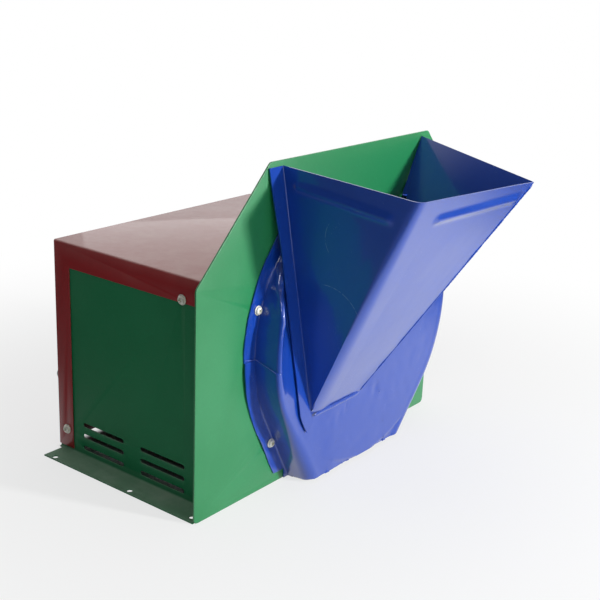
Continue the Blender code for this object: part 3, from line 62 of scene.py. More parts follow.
PAN_RADIUS = 0.162
PAN_DEPTH = PLATE_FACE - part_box("chamber_pan")[0].y
PAN_EDGE = 0.012             # rounding between the pan's wall and face
CRISP_EDGE = 0.0040          # the same rounding at the pan's beaten left
PAN_FLANGE = 0.018
PAN_FOLD = 0.0012            # rounding between the pan's flange and wall
CHUTE_LEFT, CHUTE_RIGHT = -0.0994, 0.0761
FOOT_LEFT, FOOT_RIGHT = CHUTE_LEFT - 0.0075, CHUTE_RIGHT + 0.0095
FLANGE_FOOT = 0.0118         # the flange ends here on both sides of the chute
LIP_FRONT, LIP_BACK = 0.0039, 0.0086
DISH_RADIUS = 0.1552         # round edge that stands over the chute's front
DISH_STEP = 0.0018
BEATEN_ROOM = 0.0010         # the beaten face lies this much behind the weld strip
BEATEN_RIGHT = 0.016         # where it starts to come forward again, right of the fold
BEATEN_RISE = 0.030
GROOVE_FADE = (0.195, 0.250)  # heights between which the band left of the strip runs out
LAP_TOP, LAP_SLOPE = -0.0030, 0.28   # the lap's edge from the axis, and its fall per depth
# x from the plate's left edge, height, radius and depth of each dent
PAN_DENTS = ((0.2655, 0.0793, 0.0055, 0.0010), (0.1950, 0.0690, 0.0050, 0.0006),
             (0.2100, 0.0740, 0.0035, 0.0006), (0.1800, 0.0660, 0.0060, 0.0005),
             (0.2480, 0.0880, 0.0080, 0.0006), (0.1165, 0.2360, 0.0070, 0.0016),
             (0.1180, 0.2200, 0.0050, 0.0014), (0.1090, 0.2300, 0.0045, 0.0010))

STANDOFF = 0.0016
HOPPER_ROOM = 0.00104        # between the hopper's walls and the pan's cut edges
STRIP_TOP, STRIP_FOOT = 0.0215, 0.0170
STRIP_ROOT = 0.0010          # rounding between the weld strip and the left wall
FOLD_AT_RIM, FOLD_AT_FOOT = 0.010, 0.012
SCREW_STAND = 0.0042         # height of a screw's head and washer over its sheet

CUT_CLOSE = 1e-7             # a cut takes points this near as lying on it


def place(x, y, z):
    """A point from the plate's left edge, its front face and the bench."""
    return Vector((LEFT_EDGE + x, PLATE_FACE + y, z))


def from_axis(x, z, depth):
    """A point from the disc's axis, at a depth in front of the plate's face."""
    return Vector((AXIS_X + x, PLATE_FACE - depth, AXIS_Z + z))


RIM_A = place(0.1226, -STANDOFF, 0.3526)
RIM_B = place(0.1204, -0.1660, 0.3427)
RIM_C = place(0.3462, -0.1660, 0.3298)
RIM_D = place(0.3823, -0.0006, 0.3526)
FOOT_A = place(0.1395, -0.0366, 0.0910)
FOOT_B = place(0.1480, -0.0366, 0.0860)
FOOT_C = place(0.2288, -0.0366, 0.0873)
HOPPER_MIDDLE = (RIM_B + FOOT_C + RIM_D) / 3


# ---------------------------------------------------------------- mesh tools
def clamp(value):
    return min(1.0, max(0.0, value))


def eased_step(low, high, value):
    """0 below low, 1 above high, smooth between."""
    share = clamp((value - low) / (high - low))
    return share * share * (3 - 2 * share)


def hump(start, rise, fall, end, value):
    """0 below start and above end, 1 between rise and fall, smooth between."""
    return eased_step(start, rise, value) * (1 - eased_step(fall, end, value))


def wave(point, size, seed):
    """Smooth unevenness between -1 and 1, with hills about size apart."""
    return noise.noise(point / size + Vector((seed, 1.7 * seed, 0.3 * seed)))


def lumps(point, size, seed):
    """The same between 0 and 1."""
    return 0.5 + 0.5 * wave(point, size, seed)


def outward(first, second, third):
    """The direction square to a hopper wall's plane, away from the hopper's middle."""
    out = (second - first).cross(third - first).normalized()
    return -out if out.dot(HOPPER_MIDDLE - first) > 0 else out


def add_object(name, shape):
    """An object from a bmesh, in the scene's collection."""
    mesh = bpy.data.meshes.new(name)
    shape.to_mesh(mesh)
    shape.free()
    made = bpy.data.objects.new(name, mesh)
    bpy.context.scene.collection.objects.link(made)
    return made


def settle(made):
    """Turn an object's modifiers into its mesh."""
    bpy.context.view_layer.update()
    evaluated = made.evaluated_get(bpy.context.evaluated_depsgraph_get())
    mesh = bpy.data.meshes.new_from_object(evaluated)
    made.modifiers.clear()
    made.data = mesh
    return made


def walled(name, shape):
    """An object from an open sheet, with its thickness on the inner side."""
    made = add_object(name, shape)
    wall = made.modifiers.new("sheet", "SOLIDIFY")
    wall.thickness = SHEET
    wall.offset = -1.0
    return settle(made)


def rows_to_faces(shape, rows, closed=False):
    """Faces between rows of points; gives back the rows of vertices."""
    grid = [[shape.verts.new(point) for point in row] for row in rows]
    for near, far in zip(grid, grid[1:]):
        count = len(near)
        for i in range(count if closed else count - 1):
            k = (i + 1) % count
            shape.faces.new((near[i], near[k], far[k], far[i]))
    return grid


def cut(shape, spot, out, faces=None, clear=False):
    """Cut a mesh, or some of its faces, along a plane; clear removes what lies beyond it."""
    if faces is None:
        geom = [*shape.verts, *shape.edges, *shape.faces]
    else:
        geom = list({part for face in faces for part in (*face.verts, *face.edges)}) + faces
    bmesh.ops.bisect_plane(shape, geom=geom, dist=CUT_CLOSE, plane_co=spot, plane_no=out,
                           clear_outer=clear)


def dress(made, material, body, slot, *nodes, angle=50):
    """Material, shading, body and the nodes that a finished piece stands for; the slot is not used."""
    made.data.materials.clear()
    made.data.materials.append(material)
    made.data.shade_smooth()
    made.data.set_sharp_from_angle(angle=math.radians(angle))
    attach(made, body)
    if nodes:
        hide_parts(*nodes)
    return made


def eased_copy(node, radius, fold_angle=30):
    """A copy of a frame piece with its sharp edges rounded."""
    shape = bmesh.new()
    shape.from_mesh(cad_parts[node].data)
    bmesh.ops.remove_doubles(shape, verts=shape.verts, dist=2e-6)
    bmesh.ops.dissolve_limit(shape, angle_limit=math.radians(0.3), verts=shape.verts,
                             edges=shape.edges)
    folds = [edge for edge in shape.edges if len(edge.link_faces) == 2
             and edge.calc_face_angle(0.0) > math.radians(fold_angle)]
    bmesh.ops.bevel(shape, geom=folds, offset=radius, offset_type="OFFSET", segments=2,
                    profile=0.6, affect="EDGES", clamp_overlap=False)
    return add_object(node + "_sheet", shape)


# ---------------------------------------------------------------- node tools
class Signal:
    """A node's output. Arithmetic with signals adds the nodes that work it out."""

    def __init__(self, node, key=0):
        self.socket = node.outputs[key]
        self.tree = node.id_data

    def __add__(self, other):
        return maths("ADD", self, other)

    __radd__ = __add__

    def __sub__(self, other):
        return maths("SUBTRACT", self, other)

    def __rsub__(self, other):
        return maths("SUBTRACT", other, self)

    def __mul__(self, other):
        return maths("MULTIPLY", self, other)

    __rmul__ = __mul__

    def __rtruediv__(self, other):
        return maths("DIVIDE", other, self)

    def __abs__(self):
        return maths("ABSOLUTE", self)


def feed(socket, value):
    """Link a signal to an input, or set the input to a plain value."""
    if isinstance(value, Signal):
        value.tree.links.new(value.socket, socket)
    else:
        socket.default_value = value


def add(tree, kind, values=None, **settings):
    """A node with its settings and the values of its inputs."""
    made = tree.nodes.new(kind)
    for key, value in settings.items():
        setattr(made, key, value)
    for key, value in (values or {}).items():
        feed(made.inputs[key], value)
    return made


def output(tree, kind, values=None, key=0, **settings):
    """One output of a new node."""
    return Signal(add(tree, kind, values, **settings), key)


def maths(operation, *values, clamped=False):
    tree = next(value.tree for value in values if isinstance(value, Signal))
    return output(tree, "ShaderNodeMath", dict(enumerate(values)), operation=operation, use_clamp=clamped)


def larger(first, second):
    return maths("MAXIMUM", first, second)


def ranged(value, low, high, smallest=0.0, largest=1.0, kind="LINEAR"):
    """A signal that runs from smallest to largest while the value runs from low to high."""
    return output(value.tree, "ShaderNodeMapRange", {
        "Value": value, "From Min": low, "From Max": high, "To Min": smallest, "To Max": largest},
        interpolation_type=kind)


def step_up(value, low, high):
    """0 below low, 1 above high, smooth between."""
    return ranged(value, low, high, kind="SMOOTHSTEP")


def blended(tree, factor, first, second, blend="MIX"):
    """Two colours mixed."""
    return output(tree, "ShaderNodeMix", {0: factor, 6: first, 7: second}, 2, data_type="RGBA",
                  blend_type=blend)


def noise_at(at, scale, detail=2.0, rough=0.5, seed=0.0):
    return output(at.tree, "ShaderNodeTexNoise", {
        "Vector": at, "W": seed, "Scale": scale, "Detail": detail, "Roughness": rough}, "Fac",
        noise_dimensions="4D")


def solid(colour, factor=1.0, lift=0.0):
    """A colour for a node's input, made lighter by a factor and a lift."""
    return (*(factor * part + lift for part in colour), 1.0)


def new_group(name, inputs, **outputs):
    """A shader node group, the signals it is given and where its results go."""
    group = bpy.data.node_groups.new(name, "ShaderNodeTree")
    kinds = {0: "Float", 3: "Vector", 4: "Color"}
    for label, value in inputs.items():
        kind = kinds[len(value) if isinstance(value, tuple) else 0]
        socket = group.interface.new_socket(label, in_out="INPUT", socket_type="NodeSocket" + kind)
        socket.default_value = value
    for label, kind in outputs.items():
        group.interface.new_socket(label, in_out="OUTPUT", socket_type="NodeSocket" + kind)
    entry = add(group, "NodeGroupInput")
    return group, [Signal(entry, label) for label in inputs], add(group, "NodeGroupOutput").inputs


def use(tree, group, **values):
    """A group placed in a material; names use _ for spaces."""
    made = add(tree, "ShaderNodeGroup", node_tree=group)
    for key, value in values.items():
        feed(made.inputs[key.replace("_", " ")], value)
    return {socket.name: Signal(made, socket.name) for socket in made.outputs}


# ---------------------------------------------------------------- shared effects
ANYWHERE = (0.0, 0.0, 0.0)
GREY = (0.5, 0.5, 0.5, 1.0)


def make_drift():
    """Paint colour that drifts lighter and duller in broad patches."""
    group, (at, colour, faded, size, amount, seed), out = new_group(
        "colour_drift", {"Place": ANYWHERE, "Colour": GREY, "Faded": GREY, "Patch Size": 0.1,
                         "Amount": 0.3, "Seed": 0.0}, Colour="Color", Patches="Float")
    patches = step_up(noise_at(at, 1.0 / size, 3.0, 0.55, seed), 0.42, 0.72)
    tone = blended(group, maths("MULTIPLY", patches, amount, clamped=True), colour, faded)
    fine = ranged(noise_at(at, 260.0, 3.0, 0.6, seed), 0.0, 1.0, 0.93, 1.07)
    grey = output(group, "ShaderNodeCombineColor", {0: fine, 1: fine, 2: fine})
    feed(out["Colour"], blended(group, 1.0, tone, grey, "MULTIPLY"))
    feed(out["Patches"], patches)
    return group


def make_bare_edges():
    """Where paint has rubbed off along edges and corners."""
    group, (at, width, amount, seed), out = new_group(
        "bare_edges", {"Place": ANYWHERE, "Width": 0.0008, "Amount": 0.6, "Seed": 0.0}, Mask="Float")
    rounded = output(group, "ShaderNodeBevel", {"Radius": width}, samples=4)
    flat = output(group, "ShaderNodeNewGeometry", key="Normal")
    turn = output(group, "ShaderNodeVectorMath", {0: rounded, 1: flat}, "Value", operation="DOT_PRODUCT")
    level = 1.0 - amount
    breaks = step_up(noise_at(at, 90.0, 4.0, 0.65, seed), level * 0.75, level + 0.12)
    feed(out["Mask"], step_up(1.0 - turn, 0.02, 0.20) * breaks)
    return group


def make_scuffs():
    """Short thin scratches that lie mostly along one direction, in worn places."""
    group, (at, length, width, amount, turn, seed), out = new_group(
        "scuffs", {"Place": ANYWHERE, "Length": 0.02, "Width": 0.0005, "Amount": 0.3,
                   "Turn": ANYWHERE, "Seed": 0.0}, Mask="Float")
    across, along = 1.0 / width, 1.0 / length
    stretch = output(group, "ShaderNodeCombineXYZ", {0: across, 1: across, 2: along})
    drawn = output(group, "ShaderNodeVectorRotate", {"Vector": at, "Rotation": turn},
                   rotation_type="EULER_XYZ")
    drawn = output(group, "ShaderNodeVectorMath", {0: drawn, 1: stretch}, operation="MULTIPLY")
    streaks = step_up(noise_at(drawn, 1.0, 1.0, 0.4, seed), 0.66, 0.72)
    level = 1.0 - amount
    worn = step_up(noise_at(at, 28.0, 3.0, 0.6, seed), level * 0.62, level * 0.86)
    feed(out["Mask"], streaks * worn)
    return group


def make_ripples():
    """Unevenness of hand-worked sheet under its paint: waves and orange peel."""
    group, (at, size, height, peel, seed), out = new_group(
        "sheet_ripples", {"Place": ANYWHERE, "Wave Size": 0.05, "Wave Height": 0.4, "Peel Height": 0.05,
                          "Seed": 0.0}, Height="Float")
    feed(out["Height"], noise_at(at, 1.0 / size, 1.5, 0.4, seed) * height
         + noise_at(at, 900.0, 2.0, 0.5, seed) * peel)
    return group


def make_dust_and_sheen():
    """Dust that has settled, and the painted sheen that it also stands for on some tops: most on faces that
    look up, hardly any on upright ones.
    """
    group, (at, amount, size, seed), out = new_group(
        "settled_dust_and_sheen", {"Place": ANYWHERE, "Amount": 0.3, "Patch Size": 0.04, "Seed": 0.0}, Mask="Float")
    normal = output(group, "ShaderNodeNewGeometry", key="Normal")
    lying = ranged(output(group, "ShaderNodeSeparateXYZ", {0: normal}, "Z"), 0.0, 1.0, 0.015, 1.0)
    patches = step_up(noise_at(at, 1.0 / size, 5.0, 0.62, seed), 0.32, 0.78)
    feed(out["Mask"], maths("MULTIPLY", lying * (patches * 0.40 + 0.60), amount, clamped=True))
    return group


def make_arc_scratch():
    """One long scratch: part of a circle drawn on a face that looks along X."""
    group, (at, centre, radius, width, start, end, left_of), out = new_group(
        "arc_scratch", {"Place": ANYWHERE, "Centre": ANYWHERE, "Radius": 0.05, "Width": 0.0005,
                        "From": 0.0, "To": 1.0, "Left Of": 0.0}, Mask="Float")
    taper = 0.15
    away = add(group, "ShaderNodeSeparateXYZ", {0: output(
        group, "ShaderNodeVectorMath", {0: at, 1: centre}, operation="SUBTRACT")})
    y, z = Signal(away, "Y"), Signal(away, "Z")
    line = 1.0 - step_up(abs(maths("SQRT", y * y + z * z) - radius), 0.0, width)
    angle = maths("ARCTAN2", z, y)
    inside = step_up(angle, start, start + taper) * (1.0 - step_up(angle, end - taper, end))
    broken = step_up(noise_at(at, 300.0), 0.36, 0.50)
    x = output(group, "ShaderNodeSeparateXYZ", {0: at}, "X")
    feed(out["Mask"], line * inside * (broken * maths("LESS_THAN", x, left_of)))
    return group


DRIFT = make_drift()
BARE_EDGES = make_bare_edges()
SCUFFS = make_scuffs()
RIPPLES = make_ripples()
DUST_AND_SHEEN = make_dust_and_sheen()
ARC_SCRATCH = make_arc_scratch()


# ---------------------------------------------------------------- finishes
def new_material(name, colour, roughness, metallic=0.0, coat=0.0, specular=0.5):
    """A Principled material, its tree, its shader and the piece's own place."""
    material = bpy.data.materials.new(name)
    material.use_nodes = True
    tree = material.node_tree
    shader = tree.nodes["Principled BSDF"]
    values = {"Base Color": solid(colour), "Roughness": roughness, "Metallic": metallic,
              "Coat Weight": coat, "Coat Roughness": 0.06, "Specular IOR Level": specular}
    for key, value in values.items():
        shader.inputs[key].default_value = value
    return material, tree, shader, output(tree, "ShaderNodeTexCoord", key="Object")


def bumped(shader, height, distance, strength=1.0):
    """Feed a height to the shader's normal."""
    values = {"Height": height, "Distance": distance, "Strength": strength}
    feed(shader.inputs["Normal"], output(height.tree, "ShaderNodeBump", values))


def painted(name, colour, faded, under, roughness, coat=0.0, patch_size=0.09, fade=0.3,
            edge_width=0.0007, edge_amount=0.5, scuff_amount=0.25, scuff_colour=None,
            scuff_turn=(0.25, 0.20, 0.0), wave_size=0.05, wave_height=0.3, peel=0.05, dust_and_sheen=0.15,
            dust_and_sheen_colour=(0.42, 0.38, 0.32), specular=0.5, seed=0.0, marks=()):
    """Painted sheet steel with faded patches, rubbed edges, scuffs, ripples, and dust that can also paint a
    sheen on faces that look up.
    """
    material, tree, shader, at = new_material(name, colour, roughness, coat=coat, specular=specular)
    drift = use(tree, DRIFT, Place=at, Colour=solid(colour), Faded=solid(faded), Patch_Size=patch_size,
                Amount=fade, Seed=seed)
    scuff = use(tree, SCUFFS, Place=at, Amount=scuff_amount, Turn=scuff_turn, Seed=seed + 3.0)["Mask"]
    for centre, radius, width, start, end, left_of in marks:
        arc = use(tree, ARC_SCRATCH, Place=at, Centre=centre, Radius=radius, Width=width,
                  From=start, To=end, Left_Of=left_of)["Mask"]
        scuff = larger(scuff, arc)
    # the dust mask also paints sheen: a lighter tone on faces that look up
    dust_and_sheen_mask = use(tree, DUST_AND_SHEEN, Place=at, Amount=dust_and_sheen, Seed=seed + 5.0)["Mask"]
    edge = use(tree, BARE_EDGES, Place=at, Width=edge_width, Amount=edge_amount, Seed=seed + 7.0)["Mask"]
    tone = blended(tree, scuff * 0.55, drift["Colour"], solid(scuff_colour or faded))
    tone = blended(tree, dust_and_sheen_mask, tone, solid(dust_and_sheen_colour))
    feed(shader.inputs["Base Color"], blended(tree, edge, tone, solid(under)))
    dulled = dust_and_sheen_mask * 0.45 + edge * 0.2 + drift["Patches"] * 0.06
    feed(shader.inputs["Roughness"], maths("ADD", dulled, roughness, clamped=True))
    height = use(tree, RIPPLES, Place=at, Wave_Size=wave_size, Wave_Height=wave_height,
                 Peel_Height=peel, Seed=seed)["Height"]
    bumped(shader, height - (scuff + edge) * 0.04, 0.001)
    return material


def metal(name, colour, stain, roughness, spread=0.18, grain=220.0, stretch=(1.0, 1.0, 1.0),
          stain_amount=0.4, stain_size=0.01, bump=0.3, metallic=1.0, seed=0.0):
    """Bare or plated metal with grain, uneven gloss and stains."""
    material, tree, shader, at = new_material(name, colour, roughness, metallic)
    drawn = output(tree, "ShaderNodeMapping", {"Vector": at, "Scale": stretch})
    lines = noise_at(drawn, grain, 3.0, 0.6, seed)
    spots = step_up(noise_at(at, 1.0 / stain_size, 4.0, 0.6, seed + 2.0), 0.45, 0.75)
    share = spots * stain_amount
    feed(shader.inputs["Base Color"], blended(tree, share, solid(colour), solid(stain)))
    gloss = ranged(lines, 0.0, 1.0, max(0.02, roughness - spread / 2), roughness + spread / 2)
    feed(shader.inputs["Roughness"], gloss + share * 0.3)
    bumped(shader, lines, 0.0005, bump)
    return material


def moulded(name, colour, roughness, grain=1400.0, seed=0.0):
    """Moulded plastic or rubber with a fine skin, a little dust and rubbed edges."""
    material, tree, shader, at = new_material(name, colour, roughness)
    tone = use(tree, DRIFT, Place=at, Colour=solid(colour), Faded=solid(colour, 2.2, 0.01),
               Patch_Size=0.02, Amount=0.4, Seed=seed)["Colour"]
    dust_and_sheen_mask = use(tree, DUST_AND_SHEEN, Place=at, Amount=0.25, Patch_Size=0.012, Seed=seed)["Mask"]
    edge = use(tree, BARE_EDGES, Place=at, Width=0.0005, Amount=0.4, Seed=seed)["Mask"]
    tone = blended(tree, dust_and_sheen_mask, tone, (0.30, 0.28, 0.25, 1.0))
    feed(shader.inputs["Base Color"], blended(tree, edge * 0.35, tone, solid(colour, 3.0, 0.03)))
    feed(shader.inputs["Roughness"], dust_and_sheen_mask * 0.3 + roughness)
    bumped(shader, noise_at(at, grain, 2.0, 0.5, seed), 0.0003, 0.6)
    return material


# centre, radius, width, first and last angle, and the x that it lies left of
HOPPER_ARCS = ((Vector((0, PLATE_FACE - 0.0566, 0.1926)), 0.0456, 0.0005, 1.42, 2.66, -0.06),
               (Vector((0, PLATE_FACE - 0.0803, 0.2881)), 0.0258, 0.0004, -0.72, 0.68, -0.06))
GREEN = painted(
    "green_paint_plate", (0.007, 0.218, 0.066), (0.028, 0.28, 0.105), (0.36, 0.44, 0.37), 0.38,
    patch_size=0.10, fade=0.35, edge_width=0.0009, edge_amount=0.65, scuff_amount=0.36, wave_size=0.09,
    wave_height=0.25, dust_and_sheen=0.12, specular=0.85, seed=1.0)
# the panels' pale green dust also paints the glancing reflection on their foot flanges
PANEL_GREEN = painted(
    "green_paint_panel", (0.006, 0.180, 0.066), (0.022, 0.24, 0.10), (0.30, 0.36, 0.30), 0.42,
    patch_size=0.12, fade=0.25, edge_amount=0.55, scuff_amount=0.55, wave_size=0.10, wave_height=0.25,
    dust_and_sheen=0.58, dust_and_sheen_colour=(0.46, 0.54, 0.44), specular=0.2, seed=11.0)
# the cover's heavy, pinkish dust also paints the sheen of light on its top
RED = painted(
    "red_paint", (0.300, 0.0025, 0.006), (0.37, 0.012, 0.014), (0.34, 0.20, 0.18), 0.36, coat=0.60,
    patch_size=0.08, fade=0.25, edge_width=0.0010, edge_amount=0.55, scuff_amount=0.30,
    scuff_turn=(1.3, 0.3, 0.6), wave_size=0.08, wave_height=0.25, dust_and_sheen=0.92,
    dust_and_sheen_colour=(0.66, 0.42, 0.39), specular=0.25, seed=21.0)
BLUE = painted(
    "blue_paint", (0.003, 0.049, 0.365), (0.010, 0.068, 0.42), (0.02, 0.03, 0.10), 0.31, coat=1.0,
    patch_size=0.10, fade=0.25, edge_width=0.0008, edge_amount=0.35, scuff_amount=0.18,
    scuff_colour=(0.25, 0.33, 0.62), wave_size=0.030, peel=0.03, dust_and_sheen=0.06,
    dust_and_sheen_colour=(0.30, 0.32, 0.42), seed=31.0, marks=HOPPER_ARCS)
# a lighter blue that paints the highlight along the lap's upturned edge, where it catches light from above
LAP_HIGHLIGHT_BLUE = painted(
    "painted_highlight_blue_edge", (0.075, 0.130, 0.520), (0.16, 0.22, 0.58), (0.20, 0.24, 0.40), 0.34,
    patch_size=0.02, fade=0.5, edge_amount=0.3, dust_and_sheen=0.1, seed=37.0)
ZINC = metal("zinc_plating", (0.93, 0.92, 0.82), (0.62, 0.58, 0.44), 0.40, stain_size=0.003,
             metallic=0.35, seed=41.0)
STEEL = metal("turned_steel", (0.56, 0.56, 0.55), (0.30, 0.24, 0.18), 0.26, stretch=(1.0, 8.0, 1.0),
              stain_size=0.012, seed=43.0)
DISC_STEEL = metal("disc_steel", (0.50, 0.50, 0.49), (0.26, 0.17, 0.10), 0.36, grain=120.0,
                   stain_size=0.03, stain_amount=0.6, seed=44.0)
BLADE_STEEL = metal("blade_steel", (0.66, 0.66, 0.66), (0.34, 0.22, 0.13), 0.22, stretch=(3.0, 3.0, 3.0),
                    stain_size=0.008, seed=45.0)
LAMINATIONS = metal("laminated_steel", (0.34, 0.34, 0.35), (0.20, 0.13, 0.09), 0.45, grain=260.0,
                    stretch=(0.2, 9.0, 0.2), bump=1.0, seed=46.0)
ALUMINIUM = metal("cast_aluminium", (0.58, 0.59, 0.60), (0.36, 0.36, 0.36), 0.50, grain=420.0,
                  stain_size=0.02, bump=1.2, seed=47.0)
CAN = metal("drawn_aluminium", (0.72, 0.73, 0.74), (0.50, 0.50, 0.52), 0.30, grain=600.0,
            stretch=(1.0, 0.1, 1.0), seed=48.0)
COPPER = metal("varnished_copper", (0.60, 0.24, 0.10), (0.30, 0.10, 0.04), 0.32, grain=500.0,
               stretch=(0.3, 3.0, 0.3), bump=2.0, seed=49.0)
PLASTIC = moulded("black_plastic", (0.018, 0.018, 0.019), 0.42, seed=51.0)
ROCKER_PLASTIC = moulded("rocker_plastic", (0.16, 0.010, 0.010), 0.30, grain=500.0, seed=52.0)
RUBBER = moulded("black_rubber", (0.020, 0.020, 0.020), 0.68, grain=900.0, seed=53.0)
SHEATH = moulded("lead_sheath", (0.030, 0.030, 0.032), 0.55, grain=700.0, seed=54.0)


# ---------------------------------------------------------------- chamber pan
def strip_depth(z):
    """How far in front of the plate the weld strip lies at a height."""
    travel = clamp((RIM_A.z - z) / (RIM_A.z - FOOT_A.z))
    return PLATE_FACE - (RIM_A.y + (FOOT_A.y - RIM_A.y) * travel)


def fold_line(z):
    """X of the strip's fold at a height."""
    return RIM_A.x + (FOOT_A.x - RIM_A.x) * (RIM_A.z - z) / (RIM_A.z - FOOT_A.z)


def pan_depth(x, z):
    """Depth of the pan's outside at a place on its face, which dips under the weld strip."""
    under = min(PAN_DEPTH, strip_depth(z) - STANDOFF - BEATEN_ROOM)
    share = eased_step(0.0, BEATEN_RISE, x - fold_line(z) - BEATEN_RIGHT)
    groove = fold_line(z) - STRIP_FOOT - 0.001
    wall = AXIS_X - math.sqrt(max(0.0, PAN_RADIUS ** 2 - (z - AXIS_Z) ** 2))
    outer = clamp((groove - x) / max(0.001, groove - wall))
    outer *= 1 - eased_step(*GROOVE_FADE, z)
    return under + (PAN_DEPTH - under) * max(share, outer)


def pan_unevenness(x, z):
    """What beating and welding did to the pan's face; negative lies deeper."""
    off_x, off_z = x - AXIS_X, z - AXIS_Z
    reach = math.hypot(off_x, off_z)
    turn = math.degrees(math.atan2(off_z, off_x))
    below_dish = eased_step(DISH_RADIUS - 0.0002, DISH_RADIUS + 0.0022, reach)
    at = Vector((x, 0.0, z))
    result = -DISH_STEP * below_dish * hump(-124, -100, -42, -37, turn)
    result -= 0.0005 * lumps(at, 0.045, 2.0)
    result -= 0.0004 * (1 - eased_step(0.135, 0.160, reach)) * max(0.0, wave(at, 0.016, 5.0))
    for dent_x, dent_z, radius, depth in PAN_DENTS:
        away = ((x - LEFT_EDGE - dent_x) ** 2 + (z - dent_z) ** 2) / radius ** 2
        if away < 9:
            result -= depth * math.exp(-away)
    return result


def edge_rounding(spot):
    """Rounding between wall and face: crisp at the pan's left, full round elsewhere."""
    turn = math.degrees(math.atan2(spot.y, spot.x)) % 360
    return PAN_EDGE - (PAN_EDGE - CRISP_EDGE) * hump(140, 158, 198, 232, turn)


def tangent_angle(corner_x, side):
    """Angle at which a chute wall leaves the round of the pan."""
    corner = Vector((corner_x, -AXIS_Z))
    return math.atan2(corner.y, corner.x) + side * math.acos(PAN_RADIUS / corner.length)


def pan_outline():
    """Outside of the pan's wall from the chute's left foot, as (spot, normal) from the axis."""
    left, right = tangent_angle(CHUTE_LEFT, -1), tangent_angle(CHUTE_RIGHT, 1)
    below = -AXIS_Z - 0.025
    sides, arc, floor = 30, 236, 44

    def normal(angle):
        return Vector((math.cos(angle), math.sin(angle)))

    def foot(angle):
        run = Vector((-math.sin(angle), math.cos(angle)))
        spot = normal(angle) * PAN_RADIUS
        return spot + run * ((below - spot.y) / run.y)

    def side_spots(angle, steps):
        return [(foot(angle).lerp(normal(angle) * PAN_RADIUS, i / sides), normal(angle)) for i in steps]

    sweep = math.tau - (right - left)
    angles = {left - sweep * i / arc for i in range(arc + 1)}
    # closer points where the sheets lap
    angles |= {-math.pi - LAP_TOP / PAN_RADIUS + i * 0.0025 for i in range(-6, 36)}
    result = side_spots(left, range(sides))
    result += [(normal(angle) * PAN_RADIUS, normal(angle)) for angle in sorted(angles, reverse=True)]
    result += side_spots(right, range(sides - 1, -1, -1))
    result += [(foot(right).lerp(foot(left), i / floor), Vector((0.0, -1.0))) for i in range(1, floor)]
    return result


def lap_line(depth):
    """Height of the lap's upper edge from the axis, at a depth in front of the plate."""
    return LAP_TOP - LAP_SLOPE * max(0.0, depth - 0.003)


def lap_rise(spot, depth):
    """The lower sheet laps over the upper one along a seam at the pan's left."""
    if spot.x > 0:
        return 0.0
    return hump(-0.070, -0.020, -0.0004, 0.0004, spot.y - lap_line(depth))


def flange_point(share, spot, normal):
    """A place on the pan's flange, from 1 at its ragged edge to 0 at its fold; it is buckled
    except under the screws."""
    ragged = 0.0011 * wave(Vector((spot.x, spot.y, 0.0)), 0.020, 12.0) - 0.0008
    flat = spot + normal * (PAN_FOLD + (PAN_FLANGE - PAN_FOLD + ragged) * share)
    at = from_axis(*flat, PLATE_FACE)
    away = [math.hypot(at.x - seat.x, at.z - seat.z) for seat in SCREW_SEATS]
    buckle = (0.0022 * max(0.0, wave(at, 0.024, 3.0)) * share
              + 0.0007 * max(0.0, wave(at, 0.009, 6.0)) * math.sin(math.pi * share)
              + 0.0024 * math.exp(-(away[0] / 0.026) ** 2) * abs(wave(at, 0.0085, 21.0))
              + 0.0016 * lap_rise(spot, 0.0))
    return from_axis(*flat, SEAT + buckle * eased_step(0.0055, 0.0100, min(away)))


def wall_point(share, spot, normal):
    """A place on the pan's fold, its wall or the rounding into its face."""
    fold_end, wall_end = 0.12, 0.45
    rounding = edge_rounding(spot)
    inner = spot - normal * rounding
    full = pan_depth(AXIS_X + inner.x, AXIS_Z + inner.y)
    edge = min(rounding, full - SEAT - 0.001)
    back, front = SEAT + PAN_FOLD, full - edge
    straight = clamp((share - fold_end) / (wall_end - fold_end))
    if share <= fold_end:
        turn = math.pi / 2 * share / fold_end
        offset, depth = PAN_FOLD * (1 - math.sin(turn)), SEAT + PAN_FOLD * (1 - math.cos(turn))
    elif share <= wall_end:
        offset, depth = 0.0, back + (front - back) * straight
    else:
        turn = math.pi / 2 * (share - wall_end) / (1 - wall_end)
        offset, depth = -edge * (1 - math.cos(turn)), front + edge * math.sin(turn)
    at = Vector((*spot, depth))
    beaten = hump(112, 140, 166, 174, math.degrees(math.atan2(spot.y, spot.x)))
    offset -= 0.0004 * lumps(at, 0.026, 4.0) * straight
    offset -= 0.0036 * beaten * abs(wave(at, 0.013, 14.0)) * min(1.0, 2.5 * straight)
    offset += 0.0015 * lap_rise(spot, depth)
    return from_axis(*(spot + normal * offset), depth)


def face_point(share, spot, normal):
    """A place on the pan's face, from 1 at its edge to 0 on the axis."""
    flat = (spot - normal * edge_rounding(spot)) * share
    x, z = AXIS_X + flat.x, AXIS_Z + flat.y
    return from_axis(*flat, pan_depth(x, z) + pan_unevenness(x, z) * eased_step(0.0, 0.04, 1 - share))


def trim_lip(shape):
    """Cut the chute's slanting lip, with a rough edge."""
    slope = math.atan2(LIP_BACK - LIP_FRONT, PAN_DEPTH)
    lip = from_axis(0.0, LIP_FRONT - AXIS_Z, PAN_DEPTH)
    cut(shape, lip, (0.0, -math.sin(slope), -math.cos(slope)), clear=True)
    for vert in shape.verts:
        if vert.is_boundary and vert.co.y < PLATE_FACE - 0.004:
            vert.co.z += 0.0009 * lumps(vert.co, 0.009, 8.0)


